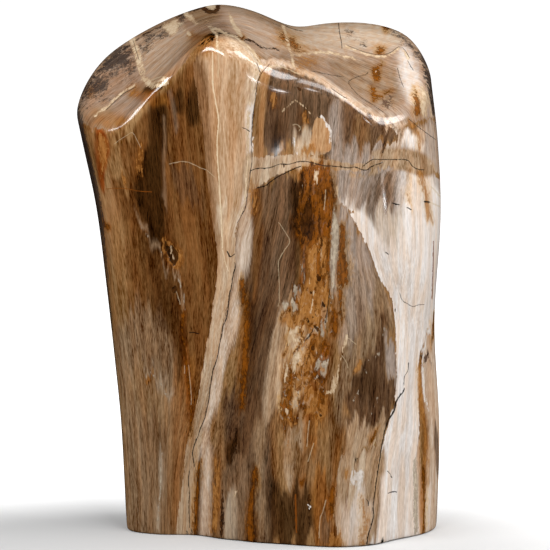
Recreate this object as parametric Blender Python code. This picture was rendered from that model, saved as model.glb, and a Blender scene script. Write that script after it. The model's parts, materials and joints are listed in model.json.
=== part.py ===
"""A polished block of petrified wood that stands upright on a flat sawn base.

Blender 4.5. Run it with: blender --background --python part.py

The stone is one solid. It is a sphere's net of meridians and parallels, drawn out to the stone's
own form. The meridians become columns that climb the wall, and the parallels become rings:
the flat base, its eased edge, the wall, the rolled rim and the sloping crown.

The wall is a loft through named rails that run up the stone, and the crown is the slope between
the front rim and the back rim. Sizes are in millimetres until the mesh is written in metres.
The front faces -Y, and the origin is the middle of the bounding box, on the ground.
"""

import math

import bmesh
import bpy
from mathutils import Matrix, Vector, noise

MM = 0.001
STONE_NAME = "petrified_wood"

# Each rail is a line up the wall, as (height, across, depth), from base to above the crown.
# They go round the stone seen from above: along the front from left to right, then back
# behind it. The number is how many columns stand between a rail and the next.
RAILS = (
    ("left side", 5, ((0, -94, 2), (75, -98, 2), (120, -103, 3), (180, -110, 4), (240, -117, 5),
                      (290, -127, 6), (325, -134, 8), (400, -137, 10))),
    ("left corner", 6, ((0, -93, -18), (120, -99, -24), (240, -110, -34), (320, -123, -40),
                        (400, -126, -42))),
    ("left face", 7, ((0, -73, -30), (120, -79, -38), (240, -86, -51), (320, -94, -58),
                      (400, -96, -60))),
    ("left scoop", 7, ((0, -46, -33), (120, -56, -40), (240, -61, -52), (320, -64, -55),
                       (400, -64, -56))),
    ("step", 6, ((0, -24, -48), (60, -29, -50), (140, -37, -54), (240, -37, -63), (340, -37, -66),
                 (400, -37, -67))),
    ("pillar", 6, ((0, -3, -59), (60, -6, -62), (140, -14, -66), (240, -17, -73), (340, -18, -73),
                   (400, -18, -73))),
    ("pillar foot", 6, ((0, 19, -66), (120, 11, -68), (240, 6, -68), (340, 7, -67),
                        (400, 7, -67))),
    ("right scoop", 6, ((0, 41, -73), (120, 36, -74), (240, 32, -68), (320, 33, -61),
                        (400, 33, -61))),
    ("prow", 6, ((0, 63, -76), (120, 60, -78), (200, 62, -73), (260, 63, -70), (320, 62, -62),
                 (400, 61, -61))),
    ("shoulder", 6, ((0, 86, -69), (120, 85, -72), (200, 88, -73), (300, 88, -66),
                     (400, 84, -61))),
    ("right flute", 6, ((0, 103, -50), (60, 105, -50), (120, 106, -53), (220, 111, -58),
                        (300, 109, -54), (400, 101, -47))),
    ("right corner", 6, ((0, 125, -27), (60, 125, -27), (120, 123, -29), (220, 127, -34),
                         (300, 123, -32), (400, 112, -26))),
    ("right side", 6, ((0, 134, 4), (75, 136, 4), (155, 132, 4), (235, 136, 4), (290, 133, 5),
                       (325, 129, 6), (350, 126, 8), (400, 116, 10))),
    ("right back", 6, ((0, 117, 42), (160, 115, 45), (320, 112, 46), (400, 106, 46))),
    ("back right", 6, ((0, 74, 63), (160, 72, 68), (320, 68, 66), (400, 66, 64))),
    ("back valley", 6, ((0, 20, 56), (160, 17, 59), (320, 14, 58), (400, 14, 56))),
    ("back left", 6, ((0, -36, 61), (160, -42, 66), (320, -50, 66), (400, -52, 64))),
    ("left back", 5, ((0, -79, 38), (160, -92, 43), (320, -112, 45), (400, -114, 44))),
)

LEFT_SIDE = 0                          # the rails that stand at the stone's two sides
RIGHT_SIDE = 12
AXIS_Y = -4                            # depth of the stone's axis

# Heights of the two rims of the crown, as (across, height). The crown slopes between them.
FRONT_RIM = ((-150, 306), (-128, 300), (-112, 300), (-100, 303), (-84, 317), (-64, 339), (-44, 361),
             (-31, 370), (-12, 366), (8, 354), (28, 346), (52, 335), (72, 321), (90, 313),
             (108, 311), (122, 314), (150, 318))
BACK_RIM = ((-150, 308), (-132, 334), (-115, 351), (-97, 361), (-79, 369), (-50, 380), (-28, 386),
            (-6, 383), (16, 375), (36, 370), (58, 370), (80, 371), (100, 371), (118, 369),
            (134, 360), (150, 348))
CROWN_FRONT_Y = -66
CROWN_BACK_Y = 58
CROWN_EASE = 0.35        # share by which the slope is gentler at both rims than half way
RIM_SPREAD = 34          # a rim's heights are evened out this far either side at the other rim
RIM_SAMPLES = (-1, -0.5, 0, 0.5, 1)

# How far the rolled rim reaches, as (bearing in degrees from the right side, radius)
RIM_ROLL = ((0, 9), (30, 9), (60, 12), (110, 13), (150, 12), (180, 12), (203, 9), (222, 8), (238, 10),
            (256, 16), (280, 19), (305, 18), (330, 16), (348, 11), (360, 9))

RIM_LEVEL = 320          # a height about half way up the rims, where a column's bearing is read
RIM_ROUNDS = 12          # of settling the height at which the wall meets its rolled rim

BASE_EASE = 2.0          # the sawn base's edge is rubbed round by this much
BASE_STEPS = 3
WALL_RINGS = 28
ROLL_RINGS = 6
CROWN_RINGS = 9
WALL_CROWDING = 1.12     # above 1, the wall's rings stand closer together towards the rim

# Hollows and swells of the front wall and of the back wall:
# (across, height, half width, half height, lean in degrees, depth), with swells below zero
FRONT_HOLLOWS = (
    (-66, 296, 20, 44, 8, 3.2),        # under the left rim
    (-78, 150, 17, 60, 12, 1.6),       # low on the left face
    (34, 292, 24, 26, 0, 3.4),         # under the right rim
    (-44, 262, 7, 70, 0, 1.8),         # along the pillar's left foot
    (37, 238, 8, 12, -12, 3.0),        # the knot at the head of the rusty seam
    (30, 160, 9, 34, -8, 1.3),         # the seam's worn middle
    (88, 196, 13, 44, 27, 2.6),        # beside the pale shoulder
    (104, 236, 18, 62, 20, -2.2),      # the pale shoulder itself
    (121, 128, 5, 46, -6, 2.4),        # flute at the right corner
    (119, 40, 5, 50, 3, 1.8),
    (-18, 24, 7, 44, 12, 1.6),         # between the left lobe and the main one
)
BACK_HOLLOWS = (
    (-74, 250, 12, 96, 7, 2.6),        # flutes between the ribs that the log grew
    (-62, 60, 10, 70, 2, 2.0),
    (52, 268, 11, 84, -5, 2.4),
    (60, 96, 12, 88, 3, 2.6),
    (92, 190, 10, 120, 2, 1.8),
    (-24, 176, 15, 66, 5, -2.2),       # a low swell over a buried knot
)
FULL_DEPTH_TURN = 0.6    # how squarely the wall must face a side for its hollows' full depth
CROWN_TROUGH = (27, 58, 14, 3.0)       # across, depth, half width and drop of the rim's dip
WAVE_SIZE = 52.0                       # of the slow unevenness that hand polishing leaves
WAVE_STRETCH = 0.45
WAVE_HEIGHT = 1.0
CROWN_WAVE_LEVEL = 400                 # height at which the crown reads its unevenness

CREASE_ANGLE = 50                      # degrees; a sharper edge is shaded as a crease
STONE_COLOUR = (0.62, 0.47, 0.34, 1.0)
STONE_ROUGHNESS = 0.18


def smooth_through(points, at):
    """The value at a place on a smooth curve through (place, value...) points, in order."""
    last = len(points) - 1
    if at <= points[0][0]:
        return points[0][1:]
    if at >= points[last][0]:
        return points[last][1:]
    i = next(k for k in range(last) if at <= points[k + 1][0])
    before, here = points[max(i - 1, 0)], points[i]
    there, after = points[i + 1], points[min(i + 2, last)]
    span = there[0] - here[0]
    t = (at - here[0]) / span
    values = []
    for a, b, c, d in zip(before[1:], here[1:], there[1:], after[1:]):
        slope_in = (c - a) / (there[0] - before[0]) * span
        slope_out = (d - b) / (after[0] - here[0]) * span
        values.append(
            (2 * t**3 - 3 * t**2 + 1) * b
            + (t**3 - 2 * t**2 + t) * slope_in
            + (3 * t**2 - 2 * t**3) * c
            + (t**3 - t**2) * slope_out
        )
    return tuple(values)


def smooth_step(t):
    """Goes from 0 to 1 as t does, level at both ends and beyond them."""
    t = min(max(t, 0), 1)
    return t * t * (3 - 2 * t)


def round_through(corners, t):
    """A point between corners[1] and corners[2] of a closed outline, at share t of the way."""
    a, b, c, d = corners
    return 0.5 * (
        2 * b + (c - a) * t + (2 * a - 5 * b + 4 * c - d) * t**2
        + (3 * b - a - 3 * c + d) * t**3
    )


def column_places():
    """For each column, the rail that it follows and its share of the way to the next rail."""
    return [(i, k / count) for i, (_, count, _) in enumerate(RAILS) for k in range(count)]


def outline_point(column, height):
    """Where a column meets the wall's outline at a height, before hollows are rubbed in."""
    rail, t = column
    corners = [
        Vector(smooth_through(RAILS[(rail + k) % len(RAILS)][2], height)) for k in (-1, 0, 1, 2)
    ]
    return round_through(corners, t)


def middle(height):
    """The stone's axis at a height: midway between its two sides."""
    sides = [Vector(smooth_through(RAILS[k][2], height)) for k in (LEFT_SIDE, RIGHT_SIDE)]
    return Vector(((sides[0].x + sides[1].x) / 2, AXIS_Y))


def spread_height(rim, across, share):
    """Height of a rim, evened out over a share of the spread either side of a place."""
    places = [across + RIM_SPREAD * share * k for k in RIM_SAMPLES]
    return sum(smooth_through(rim, place)[0] for place in places) / len(places)


def crown_height(place):
    """Height of the sloping crown over a place on the plan."""
    t = (place.y - CROWN_FRONT_Y) / (CROWN_BACK_Y - CROWN_FRONT_Y)
    front = spread_height(FRONT_RIM, place.x, smooth_step(t))
    back = spread_height(BACK_RIM, place.x, 1 - smooth_step(t))
    eased = (1 - CROWN_EASE) * t + CROWN_EASE * smooth_step(t)
    across, depth, half_width, drop = CROWN_TROUGH
    beside = math.exp(-(((place.x - across) / half_width) ** 2))
    trough = drop * beside * smooth_step(place.y / depth)
    return front + (back - front) * eased - trough


def hollow_depth(hollows, across, height):
    """How deep one side's hollows are at a place on the wall."""
    depth = 0.0
    for x, z, half_width, half_height, lean, deep in hollows:
        turn = math.radians(lean)
        dx, dz = across - x, height - z
        along = dz * math.cos(turn) - dx * math.sin(turn)
        aside = dx * math.cos(turn) + dz * math.sin(turn)
        depth += deep * math.exp(-((aside / half_width) ** 2) - (along / half_height) ** 2)
    return depth


def wave(point):
    """The slow unevenness of a hand polished face, at a point of the wall."""
    place = Vector((point.x, point.y, point.z * WAVE_STRETCH)) / WAVE_SIZE
    return WAVE_HEIGHT * noise.noise(place)


def wall_point(column, height):
    """A point of the finished wall: its outline, less the hollows, with its unevenness."""
    plan = outline_point(column, height)
    outward = (plan - middle(height)).normalized()
    hollows = FRONT_HOLLOWS if outward.y < 0 else BACK_HOLLOWS
    share = smooth_step(abs(outward.y) / FULL_DEPTH_TURN)
    point = Vector((plan.x, plan.y, height))
    inset = hollow_depth(hollows, plan.x, height) * share - wave(point)
    return Vector((*(plan - outward * inset), height))


def rim_roll(column):
    """Radius of the rolled rim above a column."""
    from_middle = outline_point(column, RIM_LEVEL) - middle(RIM_LEVEL)
    bearing = math.degrees(math.atan2(from_middle.y, from_middle.x)) % 360
    return smooth_through(RIM_ROLL, bearing)[0]


def wall_top(column, roll):
    """The height at which a column's wall ends and its rolled rim begins."""
    height = RIM_LEVEL
    for _ in range(RIM_ROUNDS):
        height = crown_height(outline_point(column, height)) - roll
    return height


def ring_point(column, ring):
    """The point of a column on a ring, counted from the middle of the base to the crown."""
    if ring == 0:
        return Vector((*middle(0), 0))
    if ring <= BASE_STEPS:
        turn = math.pi / 2 * (ring - 1) / (BASE_STEPS - 1)
        inset = BASE_EASE * (1 - math.sin(turn))
        rise = BASE_EASE * (1 - math.cos(turn))
        point = wall_point(column, rise)
        plan = point.xy - (point.xy - middle(0)).normalized() * inset
        return Vector((*plan, rise))
    roll = rim_roll(column)
    top = wall_top(column, roll)
    ring -= BASE_STEPS
    if ring <= WALL_RINGS:
        share = 1 - (1 - ring / WALL_RINGS) ** WALL_CROWDING
        return wall_point(column, BASE_EASE + (top - BASE_EASE) * share)
    edge = wall_point(column, top).xy
    centre = middle(top)
    reach = (edge - centre).length
    ring -= WALL_RINGS
    if ring <= ROLL_RINGS:
        turn = math.pi / 2 * ring / ROLL_RINGS
        inset = roll * (1 - math.cos(turn))
        drop = roll * (1 - math.sin(turn))
    else:
        inset = roll + (reach - roll) * (ring - ROLL_RINGS) / CROWN_RINGS
        drop = 0.0
    plan = centre + (edge - centre) * (1 - inset / reach)
    swell = wave(Vector((*plan, CROWN_WAVE_LEVEL)))
    return Vector((*plan, crown_height(plan) - drop + swell * min(1, inset / roll)))


def make_stone():
    """The stone's mesh object: a sphere's net drawn out to the stone's form."""
    columns = column_places()
    rings = BASE_STEPS + WALL_RINGS + ROLL_RINGS + CROWN_RINGS
    shape = bmesh.new()
    bmesh.ops.create_uvsphere(shape, u_segments=len(columns), v_segments=rings, radius=1)
    for vertex in shape.verts:
        ring = round(math.acos(max(-1, min(1, -vertex.co.z))) / math.pi * rings)
        bearing = math.atan2(vertex.co.y, vertex.co.x) + math.pi
        column = round(bearing / (2 * math.pi) * len(columns)) % len(columns)
        vertex.co = ring_point(columns[column], ring)
    bmesh.ops.triangulate(shape, faces=shape.faces, quad_method="FIXED")
    stand_on_origin(shape)
    bmesh.ops.scale(shape, vec=(MM, MM, MM), verts=shape.verts)
    mesh = bpy.data.meshes.new(STONE_NAME)
    shape.to_mesh(mesh)
    shape.free()
    mesh.shade_smooth()
    mesh.set_sharp_from_angle(angle=math.radians(CREASE_ANGLE))
    return bpy.data.objects.new(STONE_NAME, mesh)


def stand_on_origin(shape):
    """Moves the mesh so that the origin is the middle of its bounding box, on the ground."""
    low = [min(v.co[axis] for v in shape.verts) for axis in range(3)]
    high = [max(v.co[axis] for v in shape.verts) for axis in range(3)]
    shift = Vector((-(low[0] + high[0]) / 2, -(low[1] + high[1]) / 2, -low[2]))
    bmesh.ops.transform(shape, matrix=Matrix.Translation(shift), verts=shape.verts)


def polished_stone():
    """The material of the polished stone."""
    material = bpy.data.materials.new("polished_petrified_wood")
    material.use_nodes = True
    shader = material.node_tree.nodes["Principled BSDF"]
    shader.inputs["Base Color"].default_value = STONE_COLOUR
    shader.inputs["Roughness"].default_value = STONE_ROUGHNESS
    shader.inputs["Metallic"].default_value = 0.0
    return material


def main():
    """Clears the scene and builds the stone in a collection of its own."""
    for old in list(bpy.data.objects):
        bpy.data.objects.remove(old)
    collection = bpy.data.collections.new("petrified wood")
    bpy.context.scene.collection.children.link(collection)
    stone = make_stone()
    stone.data.materials.append(polished_stone())
    collection.objects.link(stone)


main()
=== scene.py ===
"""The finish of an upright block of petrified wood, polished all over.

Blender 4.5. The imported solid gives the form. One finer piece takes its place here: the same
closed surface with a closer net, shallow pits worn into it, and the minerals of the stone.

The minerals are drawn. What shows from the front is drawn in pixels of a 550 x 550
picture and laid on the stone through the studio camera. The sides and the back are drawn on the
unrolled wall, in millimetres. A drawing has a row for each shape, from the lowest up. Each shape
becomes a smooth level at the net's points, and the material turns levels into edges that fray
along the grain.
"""

from __future__ import annotations
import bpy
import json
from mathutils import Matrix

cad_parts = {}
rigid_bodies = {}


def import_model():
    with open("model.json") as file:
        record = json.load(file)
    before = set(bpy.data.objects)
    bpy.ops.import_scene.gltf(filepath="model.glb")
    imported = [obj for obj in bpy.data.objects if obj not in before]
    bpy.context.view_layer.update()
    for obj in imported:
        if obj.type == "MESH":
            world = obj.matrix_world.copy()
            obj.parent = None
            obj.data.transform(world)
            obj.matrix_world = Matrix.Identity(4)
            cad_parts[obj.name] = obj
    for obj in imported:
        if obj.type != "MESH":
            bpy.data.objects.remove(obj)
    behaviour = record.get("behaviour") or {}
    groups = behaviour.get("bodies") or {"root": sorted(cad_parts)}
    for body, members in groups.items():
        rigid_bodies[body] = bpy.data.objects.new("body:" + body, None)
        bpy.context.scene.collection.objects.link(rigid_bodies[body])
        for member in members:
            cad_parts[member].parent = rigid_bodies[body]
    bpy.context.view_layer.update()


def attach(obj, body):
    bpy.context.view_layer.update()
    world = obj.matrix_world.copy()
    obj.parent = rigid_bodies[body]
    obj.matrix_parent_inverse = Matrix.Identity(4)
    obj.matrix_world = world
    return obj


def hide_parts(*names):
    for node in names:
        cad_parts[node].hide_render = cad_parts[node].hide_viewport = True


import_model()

import json
import logging
import math
from dataclasses import dataclass, replace
from enum import Enum

import bpy
import numpy as np
from mathutils import Vector, noise

LOG = logging.getLogger("petrified_wood")
NODE_NAME = "petrified_wood"
PIECE_NAME = "polished_stone_block"
MM = 0.001
PICTURE_PX = 550

# a drawn shape's level is 1 well inside and 0.5 on its edge, and is kept between two limits
EDGE_LEVEL = 0.5
LEVEL_FLOOR = -1.5
LEVEL_TOP = 2.0

# how far a mineral's strength lifts its level
STRENGTH_LIFT = 0.6

# further than anything drawn, and what a point that is far from every hairline holds
FAR = 99.0
NO_HAIRLINE = (9.0, -9.0)

# how far from its path a hairline is still drawn, in drawing units, and the channels of a fill
HAIRLINE_REACH = 5.0
HAIRLINE_CHANNELS = 4

# the wall's girth in millimetres
GIRTH = 628.0


def linear(code: str) -> tuple[float, float, float]:
    """Turns an sRGB hex colour into linear light.

    Args:
        code: The colour as six hex digits.

    Returns:
        Red, green and blue, linear.
    """
    channels = [int(code[i:i + 2], 16) / 255 for i in (0, 2, 4)]
    return tuple(c / 12.92 if c <= 0.04045 else ((c + 0.055) / 1.055) ** 2.4 for c in channels)


def smoothstep(low: float, high: float, value: np.ndarray) -> np.ndarray:
    """Rises from 0 at low to 1 at high, with level ends."""
    t = np.clip((value - low) / (high - low), 0.0, 1.0)
    return t * t * (3.0 - 2.0 * t)


# The palette


class Tone(Enum):
    """The stone's grounds: what replaced the wood, as its dark and its light fibres."""

    OAK = ("6b4822", "a27c52")
    WARM_BROWN = ("4e2b0b", "81572f")
    DEEP_BROWN = ("1b0b01", "462a10")
    TAN = ("a07a55", "c4a383")
    HONEY = ("9a6f45", "bd9469")
    SAND = ("84674a", "b99e81")
    TEAK = ("573515", "98714a")
    DRIFTWOOD = ("5c4129", "9c8062")
    CREAM = ("b3987c", "dbc7ae")
    ROSE_CREAM = ("a98d74", "d2bda9")
    GREY_OAK = ("503823", "85674c")
    SMOKY = ("3a2415", "6e5138")
    SLATE = ("42301f", "7a5d45")
    LAVENDER = ("786759", "ab988a")
    PALE_GREY = ("94836f", "bba992")
    IVORY = ("cfc2b8", "ece3dc")
    RUST = ("5f3208", "a0662a")
    OCHRE = ("6a3c12", "a5763f")
    ASH = ("7d5f4a", "ae927d")
    PUTTY = ("876b57", "b5a08e")
    AMBER = ("5e2603", "9c4b12")
    # painted shade and dark reflection along the silhouettes, where the sides turn away
    RIND = ("2c211c", "6d5c54")
    END_GRAIN = ("6b533c", "a18870")


class Mineral(Enum):
    """Minerals with crisp edges, in the order that they lie on one another."""

    SMOKY = ("2e1c10", "64493a")
    CHALK = ("8a7a68", "c6b7a0")
    OCHRE = ("7a4512", "b07a40")
    RUST = ("2c1402", "86490c")
    UMBER = ("150903", "4b2a0e")
    # also the dark strips of painted shade and dark reflection along the silhouettes
    CHARCOAL = ("140f0c", "453a34")
    IVORY = ("c9bcb0", "e8dfd7")
    CREAM = ("b2936f", "dec8aa")

    @property
    def attribute(self) -> str:
        """The name that its level has on the net."""
        return "mineral_" + self.name.lower()


@dataclass(frozen=True)
class Habit:
    """How a mineral lies on the ground.

    Fields: how much of it the mineral hides, how far the edge frays, the levels where its cover
    starts and is full, and for one that veins the seam how high the noise is where a vein lies,
    and the mineral's own place in that noise, in millimetres.
    """

    cover: float = 0.94
    fray: float = 1.4
    edge: tuple[float, float] = (0.36, 0.66)
    veins: tuple[float, float] | None = None


HABITS = {
    Mineral.SMOKY: Habit(fray=2.2, edge=(0.1, 0.9)),
    Mineral.CHALK: Habit(cover=0.85, veins=(0.55, 80.0)),
    Mineral.OCHRE: Habit(0.78, 2.2, (0.15, 0.95), (0.50, 160.0)),
    Mineral.RUST: Habit(0.88, 1.9, (0.30, 0.75), (0.53, 0.0)),
    Mineral.UMBER: Habit(veins=(0.63, 120.0)),
    Mineral.CHARCOAL: Habit(0.92, 1.9, (0.05, 1.00)),
    Mineral.IVORY: Habit(),
    Mineral.CREAM: Habit(cover=0.85),
}


class Fill(Enum):
    """What fills a hairline."""

    CRACK = "0d0704"
    CALCITE = "c9b391"
    IRON = "7c4212"
    QUARTZ = "e3cfae"


# how much a hairline's fill hides
FILL_COVER = {Fill.CRACK: 0.96, Fill.CALCITE: 0.5, Fill.IRON: 0.96, Fill.QUARTZ: 0.75}


class Layer(Enum):
    """The two layers of grounds: the lower one, and the pale one that lies over it."""

    GROUND = "ground"
    PALE = "pale"


# each layer has the colour of its dark and of its light fibres
SHADES = ("dark", "light")


@dataclass(frozen=True)
class Channel:
    """One of the channels that keep a fill's hairlines, as near lines need one each."""

    fill: Fill
    number: int

    @property
    def attribute(self) -> str:
        """The name that it has on the net."""
        return f"hairline_{self.fill.name.lower()}_{self.number}"


# What is drawn, and how it is written


@dataclass(frozen=True)
class Area:
    """A closed shape of a ground or a mineral.

    Its outline is rounded through its points. Its edge is soft by so many units either side.
    """

    kind: Tone | Mineral
    soft: float
    points: np.ndarray
    strength: float = 1.0


@dataclass(frozen=True)
class Band:
    """A streak of a ground or a mineral along a path, by its softness and its width."""

    kind: Tone | Mineral
    soft: float
    width: float
    points: np.ndarray
    strength: float = 1.0


@dataclass(frozen=True)
class Hairline:
    """A thin filled crack along a path, by its width."""

    fill: Fill
    width: float
    points: np.ndarray


@dataclass(frozen=True)
class Pit:
    """A shallow hollow that polishing left, by its depth in millimetres, edge and shape."""

    depth: float
    soft: float
    points: np.ndarray


def parse(text: str) -> np.ndarray:
    """Reads "x,y x,y ..." as an array of points."""
    return np.array([[float(n) for n in pair.split(",")] for pair in text.split()])


def rows(text: str) -> list[tuple[list[str], np.ndarray]]:
    """Reads a drawing's rows, each "words: points", over more than one line if need be.

    Args:
        text: The rows, among lines of comment that start with #.

    Returns:
        Each row's words and its points.
    """
    found = []
    for row in text.replace("\n  ", " ").splitlines():
        if row and not row.startswith("#"):
            words, _, points = row.partition(":")
            found.append((words.split(), parse(points)))
    return found


def shapes(kinds: type[Tone] | type[Mineral], text: str) -> tuple[Area | Band, ...]:
    """Reads rows whose words are a kind, a softness, perhaps xWIDTH and perhaps a strength.

    Args:
        kinds: The grounds or the minerals, for the kinds' names.
        text: The rows.

    Returns:
        A band for each row with a width, and an area for each other row.
    """
    found = []
    for (name, soft, *rest), points in rows(text):
        widths = [float(word[1:]) for word in rest if word.startswith("x")]
        strength = [float(word) for word in rest if not word.startswith("x")]
        shape = Band if widths else Area
        found.append(shape(kinds[name], float(soft), *widths, points, *strength))
    return tuple(found)


def hairlines(text: str) -> tuple[Hairline, ...]:
    """Reads rows whose words are a fill and a width."""
    return tuple(Hairline(Fill[fill], float(width), points)
                 for (fill, width), points in rows(text))


def hollows(text: str) -> tuple[Pit, ...]:
    """Reads rows whose words are a depth and a softness."""
    return tuple(Pit(float(depth), float(soft), points) for (depth, soft), points in rows(text))


# The front, drawn in pixels of the picture

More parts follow.
